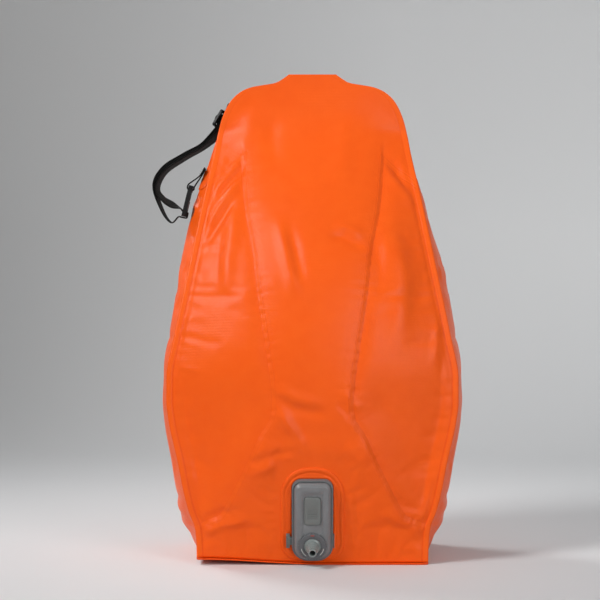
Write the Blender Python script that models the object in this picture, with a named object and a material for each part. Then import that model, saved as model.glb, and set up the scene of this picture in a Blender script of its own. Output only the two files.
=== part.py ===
"""A standing camp shower bag of coated fabric, with a clip-in pump outlet, a filler and a strap.

Metres, +Z up, front towards -Y. The origin is the middle of the base's underside.
"""
import math

import bmesh
import bpy
from mathutils import Matrix, Vector

# Clearances
skin_gap = 0.0003
slide_gap = 0.0004
cut_overrun = 0.004

# Bag sizes
bag_height = 0.545
bag_half_width = 0.1610
fabric = 0.0012
lip_width = 0.0065
flange_y = 0.020
front_opening = 0.1015
back_opening = 0.0615
front_bulge_depth = 0.036
back_bulge_depth = 0.020
side_bulge_depth = 0.027
crown_power_share = 2.2
base_half_width_share = 0.7981
base_half_width = bag_half_width * base_half_width_share
base_half_depth = 0.0815
base_corner = 0.006
base_thickness = 0.002

# Each row: a height as a share of bag_height, then a share of the size that it scales
lip_width_shares = (
    (0.0, 0.796), (0.04, 0.798), (0.075, 0.809), (0.107, 0.848), (0.15, 0.885), (0.208, 0.922),
    (0.29, 0.983), (0.333, 1.0), (0.38, 0.9995), (0.46, 0.951), (0.6, 0.855), (0.74, 0.76),
    (0.835, 0.6925), (0.861, 0.678), (0.882, 0.6635), (0.903, 0.645), (0.924, 0.618),
    (0.945, 0.577), (0.958, 0.534), (0.967, 0.488), (0.974, 0.425), (0.978, 0.348),
    (0.9825, 0.261), (0.988, 0.224), (1.0, 0.166),
)
front_open_shares = (
    (0.0, 0.951), (0.075, 0.97), (0.185, 1.0), (0.37, 0.97), (0.55, 0.8), (0.735, 0.43),
    (0.79, 0.27), (0.835, 0.12), (0.864, 0.035), (0.886, 0.0), (1.0, 0.0),
)
back_open_shares = (
    (0.0, 0.93), (0.075, 0.96), (0.185, 1.0), (0.37, 0.985), (0.55, 0.8), (0.735, 0.42),
    (0.79, 0.26), (0.835, 0.12), (0.864, 0.05), (0.886, 0.0), (1.0, 0.0),
)
front_bulge_shares = (
    (0.0, 0.05), (0.075, 0.22), (0.185, 0.5), (0.37, 0.9), (0.52, 1.0), (0.735, 0.75),
    (0.835, 0.4), (0.886, 0.17), (0.94, 0.03), (1.0, 0.0),
)
back_bulge_shares = (
    (0.0, 0.05), (0.075, 0.3), (0.185, 0.7), (0.37, 1.0), (0.55, 1.0), (0.735, 0.8),
    (0.835, 0.45), (0.886, 0.15), (0.94, 0.03), (1.0, 0.0),
)
side_bulge_shares = (
    (0.0, 0.0), (0.026, 0.22), (0.055, 0.5), (0.078, 0.7), (0.095, 0.7), (0.127, 0.58),
    (0.208, 0.48), (0.29, 0.36), (0.37, 0.28), (0.46, 0.36), (0.6, 0.45), (0.72, 0.42),
    (0.835, 0.15), (0.864, 0.06),
)
# Where the leaf-shaped side panels meet the centre panel, as shares of bag_half_width
leaf_seam_shares = (
    (0.098, 0.628), (0.13, 0.565), (0.205, 0.44), (0.27, 0.34), (0.298, 0.278), (0.33, 0.261),
    (0.45, 0.309), (0.55, 0.362), (0.64, 0.398), (0.73, 0.459), (0.83, 0.491),
)
leaf_outer_bottom_share = 0.074
leaf_outer_top_share = 0.84
panel_height_shares = (
    0.0, 0.03, 0.055, 0.074, 0.098, 0.13, 0.17, 0.21, 0.25, 0.29, 0.33, 0.38, 0.44, 0.5,
    0.56, 0.62, 0.68, 0.74, 0.79, 0.83, 0.84, 0.864, 0.886, 0.912, 0.934, 0.951, 0.962, 0.97,
    0.975, 0.979, 0.983, 0.99, 1.0,
)
side_height_shares = (
    0.0, 0.03, 0.055, 0.086, 0.127, 0.17, 0.21, 0.29, 0.37, 0.45, 0.53, 0.61, 0.69, 0.74,
    0.79, 0.82, 0.842, 0.86,
)
centre_columns = 14
leaf_columns = 6
back_columns = 12
side_columns = 8

# Outlet module, on the leaning lower front
outlet_height = 0.0530
outlet_reach = 0.0912
outlet_lean = math.radians(12.5)
outlet_flat_half_width = 0.046
outlet_flat_half_height = 0.0680
flat_blend = 0.030
module_width = 0.040
module_height = 0.0885
module_top_corner = 0.0075
module_bottom_corner = 0.015
bezel_wall = 0.0022
bezel_front = 0.007
socket_depth = 0.024
socket_floor = 0.002
socket_flange_width = 0.070
socket_flange_height = 0.1085
socket_flange_rise = 0.0055
socket_flange_corner = 0.020
socket_flange_thickness = 0.002
socket_window_radius = 0.0095
patch_arch_share = 0.45
patch_thickness = 0.001

# Pump housings
housing_wall = 0.0018
housing_front = 0.013
housing_chamfer = 0.003
housing_split = 0.001
rear_housing_depth = 0.020
seal_section = 0.0012
seal_depth = 0.0024
recess_width = 0.0232
recess_height = 0.0475
recess_rise = 0.0105
recess_corner = 0.005
recess_depth = 0.0008

# Power button
button_width = 0.0182
button_height = 0.032
button_corner = 0.0038
button_rise = 0.0133
button_proud = 0.0006
button_flange = 0.0017
button_flange_thickness = 0.0008
button_travel = 0.0008
button_edge = 0.0005
membrane_thickness = 0.0008
switch_size = 0.006
board_width = 0.030
board_height = 0.038
board_rise = 0.0140
board_thickness = 0.0012
board_front = 0.0052
groove_width = 0.0006
groove_depth = 0.00035
groove_pitch = 0.0024
groove_count = 3
groove_length_share = 0.6
groove_drop_share = 0.12

# Flow dial and nozzle, around one axis
dial_drop = 0.0270
dial_radius = 0.0156
dial_thickness = 0.0028
dial_bore = 0.0096
dial_sleeve_wall = 0.0010
dial_edge = 0.0006
dial_steps = 90
dial_sleeve_end = 0.0046
dial_web_front = 0.0106
dial_web_thickness = 0.0012
dial_notches = 30
dial_notch_depth = 0.00045
nozzle_base_radius = 0.0093
nozzle_front = 0.0164
nozzle_neck_radius = 0.0072
nozzle_length = 0.0355
nozzle_tip_radius = 0.0047
nozzle_bore = 0.0032
nozzle_barb = 0.0006
nozzle_barbs = 3
nozzle_spigot_radius = 0.0050
nozzle_spigot_end = 0.0060
valve_radius = 0.0080
valve_bore = 0.0055
valve_front = 0.0092

# Release button on the bezel's left, and the fixed catch on its right
release_height = 0.0155
release_width = 0.0040
release_front = 0.0066
release_back = 0.0016
release_drop = 0.0243
release_travel = 0.0020
release_stem_height = 0.009
release_stem_depth = 0.0026
release_ribs = 4
release_rib_depth = 0.0006
catch_width = 0.0012

# Pump parts inside the housings
battery_radius = 0.0080
battery_length = 0.033
battery_rise = 0.0212
battery_depth = 0.0048
battery_edge = 0.0006
battery_pole_radius = 0.003
battery_pole = 0.001
pump_drop = 0.0090
motor_radius = 0.0088
motor_front = 0.0035
motor_back = 0.0085
motor_flat = 0.0070
shaft_radius = 0.0010
shaft_start = 0.0040
impeller_radius = 0.0095
impeller_hub_radius = 0.0028
impeller_front = 0.0118
impeller_back = 0.0165
impeller_plate = 0.0010
blade_count = 6
blade_thickness = 0.0008
blade_sweep = math.radians(48)
chamber_front = 0.0101
chamber_back = 0.0179
chamber_radius = 0.0122
chamber_wall = 0.0014
chamber_floor = 0.0010
duct_radius = 0.0085
duct_port_radius = 0.0052
shaft_seal_radius = 0.0034
intake_radius = 0.0088
intake_seal_radius = 0.0110
cage_radius = 0.0155
cage_depth = 0.0075
cage_wall = 0.0012
cage_slots = 12
cage_slot_width = 0.0022
cage_slot_length_share = 0.62
screw_radius = 0.0009
screw_head_radius = 0.0016
screw_head = 0.0012
post_radius = 0.0022
front_hole_end = -0.0090
screw_top_x = 0.0136
screw_top_z = 0.0354
screw_bottom_x = 0.0120
screw_bottom_z = 0.0336

# Filler on the upper back
filler_height_share = 0.5505
filler_height = bag_height * filler_height_share
filler_lean = math.radians(11.0)
filler_reach = 0.0900
filler_flat_radius = 0.0545
filler_flange_radius = 0.040
filler_flange_thickness = 0.0020
neck_bore = 0.022
neck_wall = 0.003
neck_out = 0.016
neck_in = 0.004
cap_side_gap = 0.0012
cap_wall = 0.0026
cap_top = 0.0022
cap_skirt_gap = 0.0012
cap_ribs = 24
cap_rib_depth = 0.0008
cap_bevel = 0.0015
gasket_width = 0.0036
gasket_thickness = 0.0014

# Strap, its hooks and their anchors
webbing_width = 0.020
webbing_thickness = 0.0014
anchor_patch_thickness = 0.001
anchor_patch_gap = 0.0005
# The patches start this far above the hooks, and lie in these columns of their panels' grids
anchor_rise = 0.0120
anchor_height = 0.0218
left_anchor_column_shares = (4.6, 7.4)
right_anchor_column_shares = (2.0, 3.0)
anchor_web_width = 0.010
hook_x = 0.1415
hook_y = 0.006
hook_height_share = 0.7367
hook_z = bag_height * hook_height_share
hook_tilt = math.radians(14)
back_hook_x = 0.074
back_hook_lift = 0.0085
back_hook_lean = math.radians(12)
hook_length = 0.036
hook_width = 0.027
hook_top_share = 0.38
hook_thickness = 0.0048
hook_bar = 0.0036
hook_eye_share = 0.46
hook_slot_height = 0.0042
gate_gap = 0.0003
gate_width = 0.0028
gate_thickness = 0.0040
gate_length_share = 0.6
gate_drop_share = 0.1
adjuster_width = 0.0275
adjuster_thickness = 0.0026
adjuster_bar = 0.0030
adjuster_slot = 0.0060
adjuster_x = -0.1035
adjuster_y = 0.0385
adjuster_height_share = 0.9037
adjuster_direction_shares = (0.50, 0.12, 0.85)
adjuster_roll = math.radians(-30)
# The strap's route, by hand: out to the left hook, back from it, then behind the bag.
# Each place is x and y, with its height as a share of bag_height in the table below it.
strap_outward_places = ((-0.124, 0.034), (-0.145, 0.028), (-0.1665, 0.02), (-0.1755, 0.013),
                        (-0.171, 0.008), (-0.16, 0.006))
strap_outward_height_shares = (0.8486, 0.8257, 0.7982, 0.7670, 0.7450, 0.7294)
# How the webbing's edge lies at each place: it shows its face towards the front
strap_outward_side_shares = ((0.35, 0.85, -0.4), (0.4, 0.85, -0.35), (0.5, 0.84, -0.25),
                             (0.55, 0.83, 0.0), (0.4, 0.9, 0.15), (0.0, 1.0, 0.0))
strap_return_places = ((-0.16, 0.006), (-0.17, 0.008), (-0.179, 0.013), (-0.1695, 0.02),
                       (-0.1475, 0.028), (-0.1265, 0.034))
strap_return_height_shares = (0.6917, 0.7156, 0.7670, 0.8046, 0.8321, 0.8541)
strap_return_side_shares = ((0.0, 1.0, 0.0), (0.3, 0.92, 0.2), (0.55, 0.83, 0.0),
                            (0.5, 0.84, -0.25), (0.4, 0.85, -0.35), (0.35, 0.85, -0.4))
# Over the adjuster and down behind the bag: places, then the directions across the webbing
strap_over_places = ((-0.0925, 0.0425), (-0.084, 0.04), (-0.076, 0.0345))
strap_over_height_shares = (0.9330, 0.9312, 0.9119)
strap_over_side_shares = ((0.25, 0.93, -0.2), (0.3, 0.93, 0.15), (0.55, 0.65, 0.5))
# On the back: x and lift off the panel, then how far the webbing's edge leans
strap_back_places = ((-0.068, 0.0075), (-0.054, 0.006), (-0.03, 0.005), (0.005, 0.005),
                     (0.045, 0.006), (0.068, 0.008))
strap_back_height_shares = (0.8807, 0.8257, 0.7468, 0.6826, 0.6587, 0.6752)
strap_back_lean_shares = (0.9, 0.75, 0.55, 0.15, -0.3, -1.2)

corner_steps = 6
round_steps = 32
screw_steps = 12


def clear_scene():
    for thing in list(bpy.data.objects):
        bpy.data.objects.remove(thing, do_unlink=True)


def finish(name, colour, roughness, metallic=0.0):
    made = bpy.data.materials.new(name)
    made.use_nodes = True
    shader = made.node_tree.nodes["Principled BSDF"]
    shader.inputs["Base Color"].default_value = (*colour, 1.0)
    shader.inputs["Roughness"].default_value = roughness
    shader.inputs["Metallic"].default_value = metallic
    made.diffuse_color = (*colour, 1.0)
    return made


def add_object(name, mesh, look, parent=None, place=(0.0, 0.0, 0.0), turn=(0.0, 0.0, 0.0)):
    thing = bpy.data.objects.new(name, mesh)
    bpy.context.scene.collection.objects.link(thing)
    thing.parent = parent
    thing.location = place
    thing.rotation_euler = turn
    if look:
        mesh.materials.append(look)
        mesh.shade_smooth()
        mesh.set_sharp_from_angle(angle=math.radians(35))
    return thing


def add_empty(name, place, turn=(0.0, 0.0, 0.0)):
    empty = bpy.data.objects.new(name, None)
    bpy.context.scene.collection.objects.link(empty)
    empty.location = place
    empty.rotation_euler = turn
    return empty


def mesh_from(name, points, faces):
    """A mesh of these points and faces, with its faces turned outwards."""
    shape = bmesh.new()
    corners = [shape.verts.new(point) for point in points]
    for face in faces:
        shape.faces.new([corners[index] for index in face])
    bmesh.ops.recalc_face_normals(shape, faces=shape.faces)
    mesh = bpy.data.meshes.new(name)
    shape.to_mesh(mesh)
    shape.free()
    return mesh


def skin(loops, closed=False):
    """Joins outlines in (x, z), each with its depth along y; the ends are capped unless closed."""
    count = len(loops[0][0])
    points = [(x, depth, z) for outline, depth in loops for x, z in outline]
    faces = []
    pairs = len(loops) if closed else len(loops) - 1
    for row in range(pairs):
        after = (row + 1) % len(loops)
        for here in range(count):
            there = (here + 1) % count
            faces.append((row * count + here, row * count + there,
                          after * count + there, after * count + here))
    if not closed:
        faces.append(tuple(range(count)))
        last = (len(loops) - 1) * count
        faces.append(tuple(last + index for index in range(count)))
    return mesh_from("skin", points, faces)


def arc(centre_x, centre_z, radius, start, end, steps):
    turns = [start + (end - start) * step / steps for step in range(steps + 1)]
    return [(centre_x + radius * math.cos(turn), centre_z + radius * math.sin(turn))
            for turn in turns]


def tombstone(width, height, top_corner, bottom_corner, rise=0.0):
    """A rounded outline whose top and bottom corners have radii of their own."""
    side, top = width / 2, height / 2
    quarter = math.pi / 2
    outline = []
    for number, corner in enumerate((top_corner, top_corner, bottom_corner, bottom_corner)):
        right = number in (0, 3)
        upper = number < 2
        centre_x = (side - corner) if right else -(side - corner)
        centre_z = (top - corner) if upper else -(top - corner)
        outline += arc(centre_x, centre_z + rise, corner, number * quarter,
                       (number + 1) * quarter, corner_steps)
    return outline


def module_outline(margin=0.0):
    return tombstone(module_width + 2 * margin, module_height + 2 * margin,
                     module_top_corner + margin, module_bottom_corner + margin)


def circle(radius, steps=round_steps, notches=0, notch_depth=0.0):
    """A circle, with an optional wave of notches round its rim."""
    outline = []
    for step in range(steps):
        turn = 2 * math.pi * step / steps
        dip = notch_depth * 0.5 * (1 - math.cos(notches * turn))
        outline.append(((radius - dip) * math.cos(turn), (radius - dip) * math.sin(turn)))
    return outline


def turned(profile, closed=True, steps=round_steps):
    """A shape of revolution round y, from (radius, y) points."""
    return skin([(circle(radius, steps), depth) for radius, depth in profile], closed)


def add_cutter(name, mesh, parent=None, place=(0.0, 0.0, 0.0), turn=(0.0, 0.0, 0.0)):
    cutter = add_object(name, mesh, None, parent, place, turn)
    cutter.hide_render = True
    cutter.display_type = "WIRE"
    return cutter


def combine(thing, other, operation):
    change = thing.modifiers.new(other.name, "BOOLEAN")
    change.operation = operation
    change.object = other
    change.solver = "EXACT"


def cut(thing, name, mesh, parent=None, place=(0.0, 0.0, 0.0), turn=(0.0, 0.0, 0.0)):
    combine(thing, add_cutter(name, mesh, parent, place, turn), "DIFFERENCE")


def weld_on(thing, name, mesh, parent=None, place=(0.0, 0.0, 0.0), turn=(0.0, 0.0, 0.0)):
    combine(thing, add_cutter(name, mesh, parent, place, turn), "UNION")


def read_shares(shares, place):
    """A smooth value between hand-chosen points, with no overshoot."""
    place = min(max(place, shares[0][0]), shares[-1][0])
    rises = [(after[1] - here[1]) / (after[0] - here[0])
             for here, after in zip(shares, shares[1:])]
    index = max(i for i in range(len(rises)) if shares[i][0] <= place)

    def slope(i):
        if i in (0, len(rises)):
            return rises[min(i, len(rises) - 1)]
        before, after = rises[i - 1], rises[i]
        return 2 * before * after / (before + after) if before * after > 0 else 0.0

    start, end = shares[index], shares[index + 1]
    run = end[0] - start[0]
    t = (place - start[0]) / run
    return ((2 * t**3 - 3 * t**2 + 1) * start[1] + (t**3 - 2 * t**2 + t) * run * slope(index)
            + (3 * t**2 - 2 * t**3) * end[1] + (t**3 - t**2) * run * slope(index + 1))


def lip_half_width(z):
    return bag_half_width * read_shares(lip_width_shares, z / bag_height)


def crown(x, z):
    """How far a panel has swelled at x: one in the middle and nothing on the welded lip."""
    inner = max(lip_half_width(z) - lip_width, lip_width)
    share = min(abs(x) / inner, 1.0)
    return 1 - share**crown_power_share


def smooth_step(share):
    share = min(max(share, 0.0), 1.0)
    return share * share * (3 - 2 * share)


def front_y(x, z):
    """The bag's front surface, flat round the outlet module."""
    closed = flange_y - fabric - skin_gap / 2
    soft = (closed - front_opening * read_shares(front_open_shares, z / bag_height)
            - front_bulge_depth * read_shares(front_bulge_shares, z / bag_height) * crown(x, z))
    flat = -outlet_reach - math.tan(outlet_lean) * (z - outlet_height)
    past_x = max(abs(x) - outlet_flat_half_width, 0.0)
    past_z = max(abs(z - outlet_height) - outlet_flat_half_height, 0.0)
    blend = smooth_step(math.hypot(past_x, past_z) / flat_blend)
    return flat + (soft - flat) * blend


def back_y(x, z):
    """The bag's back surface, flat round the filler."""
    closed = flange_y + fabric + skin_gap / 2
    soft = (closed + back_opening * read_shares(back_open_shares, z / bag_height)
            + back_bulge_depth * read_shares(back_bulge_shares, z / bag_height) * crown(x, z))
    flat = filler_reach - math.tan(filler_lean) * (z - filler_height)
    past = math.hypot(x, z - filler_height) - filler_flat_radius
    blend = smooth_step(past / flat_blend)
    return flat + (soft - flat) * blend


def wall_depth(surface, x, z):
    """The fabric's thickness along y where the surface slopes."""
    step = fabric
    across = (surface(x + step, z) - surface(x - step, z)) / (2 * step)
    along = (surface(x, z + step) - surface(x, z - step)) / (2 * step)
    return fabric * math.sqrt(1 + across**2 + along**2)


def side_bulge(z):
    return side_bulge_depth * read_shares(side_bulge_shares, z / bag_height)


def panel_z(share):
    """Heights run from just above the base to the top."""
    low = base_thickness + skin_gap
    return low + (bag_height - low) * share


def sheet_mesh(name, rows):
    """A grid of points joined into a sheet."""
    across = len(rows[0])
    points = [point for row in rows for point in row]
    faces = []
    for row in range(len(rows) - 1):
        for column in range(across - 1):
            corner = row * across + column
            faces.append((corner, corner + 1, corner + across + 1, corner + across))
    mesh = bpy.data.meshes.new(name)
    mesh.from_pydata(points, [], faces)
    return mesh


def add_sheet(name, rows, look, thickness=fabric):
    """A fabric panel: a sheet whose faces look outwards, thickened inwards."""
    panel = add_object(name, sheet_mesh(name, rows), look)
    wall = panel.modifiers.new("fabric", "SOLIDIFY")
    wall.thickness = thickness
    wall.offset = -1
    wall.use_even_offset = True
    return panel


def spread(low, high, parts):
    return [low + (high - low) * part / parts for part in range(parts + 1)]


def centre_edge(z):
    """Half the centre panel's width: narrow between the leaves, full above and below them."""
    share = z / bag_height
    if share < leaf_seam_shares[0][0] or share > leaf_seam_shares[-1][0]:
        return lip_half_width(z)
    return bag_half_width * read_shares(leaf_seam_shares, share)


def build_centre_panel(look):
    low_seam, high_seam = leaf_seam_shares[0][0], leaf_seam_shares[-1][0]
    rows = []
    for share in panel_height_shares:
        z = bag_height * share if low_seam <= share <= high_seam else panel_z(share)
        if share == leaf_outer_bottom_share:
            z = bag_height * share
        edge = centre_edge(z)
        rows.append([(x, front_y(x, z), z) for x in spread(-edge, edge, centre_columns)])
    return add_sheet("front_centre_panel", rows, look)


def leaf_rows(side):
    low = bag_height * leaf_seam_shares[0][0] + skin_gap
    high = bag_height * leaf_seam_shares[-1][0] - skin_gap
    outer_low = bag_height * leaf_outer_bottom_share + 2 * skin_gap
    outer_high = bag_height * leaf_outer_top_share - 2 * skin_gap
    inner_heights = [low] + [bag_height * share for share in panel_height_shares
                             if low < bag_height * share < high] + [high]
    rows = []
    for inner_z in inner_heights:
        share = (inner_z - low) / (high - low)
        outer_z = outer_low + (outer_high - outer_low) * share
        inner_x = centre_edge(inner_z) + 2 * skin_gap
        row = []
        for across in spread(0.0, 1.0, leaf_columns):
            z = inner_z + (outer_z - inner_z) * across
            x = inner_x + (lip_half_width(z) - inner_x) * across
            row.append((side * x, front_y(x, z), z))
        rows.append(row if side > 0 else row[::-1])
    return rows


def back_rows():
    rows = []
    for share in panel_height_shares:
        z = panel_z(share)
        edge = lip_half_width(z)
        rows.append([(x, back_y(x, z), z) for x in spread(edge, -edge, back_columns)])
    return rows


def side_section(z):
    """The right gusset's section: front lip, bulging wall, back lip, as (x, y) points."""
    edge = lip_half_width(z)
    corner = edge - lip_width
    front = front_y(edge, z) + wall_depth(front_y, edge, z) * 2 + skin_gap
    back = back_y(edge, z) - wall_depth(back_y, edge, z) * 2 - skin_gap
    swell = lip_width + side_bulge(z)
    points = [(edge, front)]
    for share in spread(-1.0, 1.0, side_columns):
        y = (front + back) / 2 + (back - front) / 2 * share
        points.append((corner + swell * (1 - share * share), y))
    points.append((edge, back))
    return points


def side_rows(side):
    rows = []
    for share in side_height_shares:
        z = base_thickness + skin_gap + bag_height * share
        row = [(side * x, y, z) for x, y in side_section(z)]
        rows.append(row if side > 0 else row[::-1])
    return rows


def over_grid(rows, row, column, lift):
    """A point above a panel, at a place given in rows and columns of its grid."""
    low, left = min(int(row), len(rows) - 2), min(int(column), len(rows[0]) - 2)
    up, right = row - low, column - left
    corners = [Vector(rows[low + i][left + j]) for i, j in ((0, 0), (0, 1), (1, 1), (1, 0))]
    bottom, top = corners[0].lerp(corners[1], right), corners[3].lerp(corners[2], right)
    near, far = corners[0].lerp(corners[3], up), corners[1].lerp(corners[2], up)
    outwards = (far - near).cross(top - bottom).normalized()
    return bottom.lerp(top, up) + outwards * lift


def build_bag(look, base_look):
    centre = build_centre_panel(look)
    for name, side in (("front_right_panel", 1), ("front_left_panel", -1)):
        add_sheet(name, leaf_rows(side), look)
    for name, side in (("right_gusset", 1), ("left_gusset", -1)):
        add_sheet(name, side_rows(side), look)
    back = add_sheet("back_panel", back_rows(), look)
    outline = tombstone(2 * base_half_width, 2 * base_half_depth, base_corner, base_corner)
    base = add_object("base_panel", skin([(outline, 0.0), (outline, base_thickness)]),
                      base_look, turn=(-math.pi / 2, 0.0, 0.0))
    base.location.z = base_thickness
    return centre, back


def plate(outline, front, back):
    """A flat plate between two depths; front and back are distances outwards from the bag."""
    return skin([(outline, -front), (outline, -back)])


def ring(outer, inner, front, back):
    return skin([(outer, -front), (outer, -back), (inner, -back), (inner, -front)], closed=True)


def outlet_tub():
    """The tub, open to the front: inner floor, inner rim, bezel, outer back."""
    inner = module_outline(slide_gap)
    outer = module_outline(slide_gap + bezel_wall)
    return skin([(inner, socket_depth - socket_floor), (inner, -bezel_front),
                 (outer, -bezel_front), (outer, socket_depth)])


def build_socket(outlet, centre, shell, patch_look):
    """The bezel and tub that the pump clips into, and the fabric patch that seals round it."""
    hole = module_outline(slide_gap + bezel_wall + skin_gap)
    cut(centre, "outlet_hole", plate(hole, cut_overrun, -cut_overrun), outlet)
    patch = tombstone(socket_flange_width, socket_flange_height,
                      socket_flange_width * patch_arch_share, socket_flange_corner,
                      socket_flange_rise)
    add_object("outlet_patch", ring(patch, hole, skin_gap + patch_thickness, skin_gap),
               patch_look, outlet)
    socket = add_object("module_socket", outlet_tub(), shell, outlet)
    flange = tombstone(socket_flange_width, socket_flange_height - 2 * skin_gap,
                       socket_flange_corner, socket_flange_corner, socket_flange_rise)
    flange_front = fabric + skin_gap
    middle = module_outline(slide_gap + bezel_wall / 2)
    weld_on(socket, "socket_flange",
            ring(flange, middle, -flange_front, -flange_front - socket_flange_thickness), outlet)
    window = [(socket_window_radius, socket_depth - socket_floor - cut_overrun),
              (socket_window_radius, socket_depth + cut_overrun)]
    cut(socket, "socket_window", turned(window, closed=False), outlet, (0.0, 0.0, -pump_drop))
    slot = tombstone(bezel_wall * 3, release_stem_height + 2 * slide_gap, slide_gap, slide_gap)
    slot_x = module_width / 2 + slide_gap + bezel_wall / 2
    stem_middle = (release_front + release_back) / 2
    slot_half = release_stem_depth / 2 + slide_gap
    cut(socket, "release_slot", plate(slot, stem_middle + slot_half, stem_middle - slot_half),
        outlet, (-slot_x, 0.0, -release_drop))
    return socket


def screw_places():
    return [(screw_top_x, screw_top_z), (-screw_top_x, screw_top_z),
            (screw_bottom_x, -screw_bottom_z), (-screw_bottom_x, -screw_bottom_z)]


def add_posts(thing, outlet, post, hole):
    """A drilled post at each screw place, from two profiles of revolution."""
    for number, (x, z) in enumerate(screw_places(), 1):
        place = (x, 0.0, z)
        weld_on(thing, f"{thing.name}_post_{number}",
                turned(post, closed=False, steps=screw_steps), outlet, place)
        cut(thing, f"{thing.name}_hole_{number}",
            turned(hole, closed=False, steps=screw_steps), outlet, place)


def build_front_housing(outlet, look):
    inner, outer = module_outline(-housing_wall), module_outline()
    shell = skin([(inner, housing_wall - housing_front), (inner, -housing_split),
                  (outer, -housing_split), (outer, housing_chamfer - housing_front),
                  (module_outline(-housing_chamfer), -housing_front)])
    housing = add_object("front_housing", shell, look, outlet)
    post = [(post_radius, housing_wall / 2 - housing_front), (post_radius, -housing_split)]
    hole_radius = screw_radius + skin_gap
    add_posts(housing, outlet, post, [(hole_radius, front_hole_end), (hole_radius, cut_overrun)])
    recess = tombstone(recess_width, recess_height, recess_corner, recess_corner, recess_rise)
    cut(housing, "front_recess", plate(recess, housing_front + cut_overrun,
                                       housing_front - recess_depth), outlet)
    window = button_outline(slide_gap)
    cut(housing, "button_window", plate(window, housing_front + cut_overrun,
        housing_front - housing_wall - cut_overrun / 2), outlet, (0.0, 0.0, button_rise))
    dial_hole_radius = dial_bore + dial_sleeve_wall + slide_gap
    dial_hole = [(dial_hole_radius, -housing_front - cut_overrun),
                 (dial_hole_radius, housing_wall - housing_front + cut_overrun / 2)]
    cut(housing, "dial_hole", turned(dial_hole, closed=False), outlet, (0.0, 0.0, -dial_drop))


def build_rear_housing(outlet, look):
    inner, outer = module_outline(-housing_wall), module_outline()
    rim = skin_gap - housing_split
    shell = skin([(outer, rear_housing_depth), (outer, rim), (inner, rim),
                  (inner, rear_housing_depth - housing_wall)])
    housing = add_object("rear_housing", shell, look, outlet)
    post = [(post_radius, rim), (post_radius, rear_housing_depth - housing_wall / 2)]
    seat = rear_housing_depth - screw_head - skin_gap
    add_posts(housing, outlet, post,
              [(screw_radius + skin_gap, rim - cut_overrun), (screw_radius + skin_gap, seat),
               (screw_head_radius + skin_gap, seat),
               (screw_head_radius + skin_gap, rear_housing_depth + cut_overrun)])
    window = [(intake_radius, rear_housing_depth - housing_wall - cut_overrun / 2),
              (intake_radius, rear_housing_depth + cut_overrun)]
    cut(housing, "intake_window", turned(window, closed=False), outlet, (0.0, 0.0, -pump_drop))


def build_screws_and_seals(outlet, metal, rubber):
    under_head = rear_housing_depth - screw_head
    screw = turned([(screw_radius, front_hole_end + skin_gap), (screw_radius, under_head),
                    (screw_head_radius, under_head), (screw_head_radius, rear_housing_depth)],
                   closed=False, steps=screw_steps)
    for number, (x, z) in enumerate(screw_places(), 1):
        add_object(f"housing_screw_{number}", screw, metal if number == 1 else None, outlet,
                   (x, 0.0, z))
    seal_outer = module_outline(-housing_wall - slide_gap)
    seal_inner = module_outline(-housing_wall - slide_gap - seal_section)
    middle = housing_split - skin_gap / 2
    add_object("housing_seal", ring(seal_outer, seal_inner, middle + seal_depth / 2,
                                    middle - seal_depth / 2), rubber, outlet)
    seal_front = rear_housing_depth + skin_gap
    seal_back = socket_depth - socket_floor - skin_gap
    profile = [(intake_seal_radius - seal_section / 2, seal_front),
               (intake_seal_radius + seal_section / 2, seal_front),
               (intake_seal_radius + seal_section / 2, seal_back),
               (intake_seal_radius - seal_section / 2, seal_back)]
    add_object("intake_seal", turned(profile), rubber, outlet, (0.0, 0.0, -pump_drop))


def button_outline(margin=0.0):
    return tombstone(button_width + 2 * margin, button_height + 2 * margin,
                     button_corner + margin, button_corner + margin)


def build_button(outlet, look, rubber, board_look, metal):
    place = (0.0, 0.0, button_rise)
    inner_face = housing_front - housing_wall - skin_gap
    face = housing_front + button_proud
    flange = button_outline(button_flange)
    pad = button_outline()
    stack = skin([(button_outline(-button_edge), -face), (pad, button_edge - face),
                  (pad, -inner_face), (flange, -inner_face),
                  (flange, button_flange_thickness - inner_face)])
    button = add_object("power_button", stack, look, outlet, place)
    for number in range(groove_count):
        line = tombstone(button_width * groove_length_share, groove_width,
                         groove_width / 3, groove_width / 3)
        drop = button_height * groove_drop_share + groove_pitch * number
        cut(button, f"button_groove_{number + 1}",
            plate(line, face + cut_overrun, face - groove_depth),
            outlet, (0.0, 0.0, button_rise - drop))
    flange_back = inner_face - button_flange_thickness
    cup_floor = flange_back - button_travel - skin_gap
    inside = button_outline(button_flange + slide_gap)
    outside = button_outline(button_flange + slide_gap + membrane_thickness)
    cup = skin([(inside, -cup_floor), (inside, -inner_face), (outside, -inner_face),
                (outside, membrane_thickness - cup_floor)])
    add_object("button_membrane", cup, rubber, outlet, place)
    switch = tombstone(switch_size, switch_size, skin_gap, skin_gap)
    switch_front = cup_floor - membrane_thickness - skin_gap
    add_object("tactile_switch", plate(switch, switch_front, board_front + skin_gap), metal,
               outlet, place)
    board = tombstone(board_width, board_height, screw_radius, screw_radius)
    add_object("circuit_board", plate(board, board_front, board_front - board_thickness),
               board_look, outlet, (0.0, 0.0, board_rise))


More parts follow.
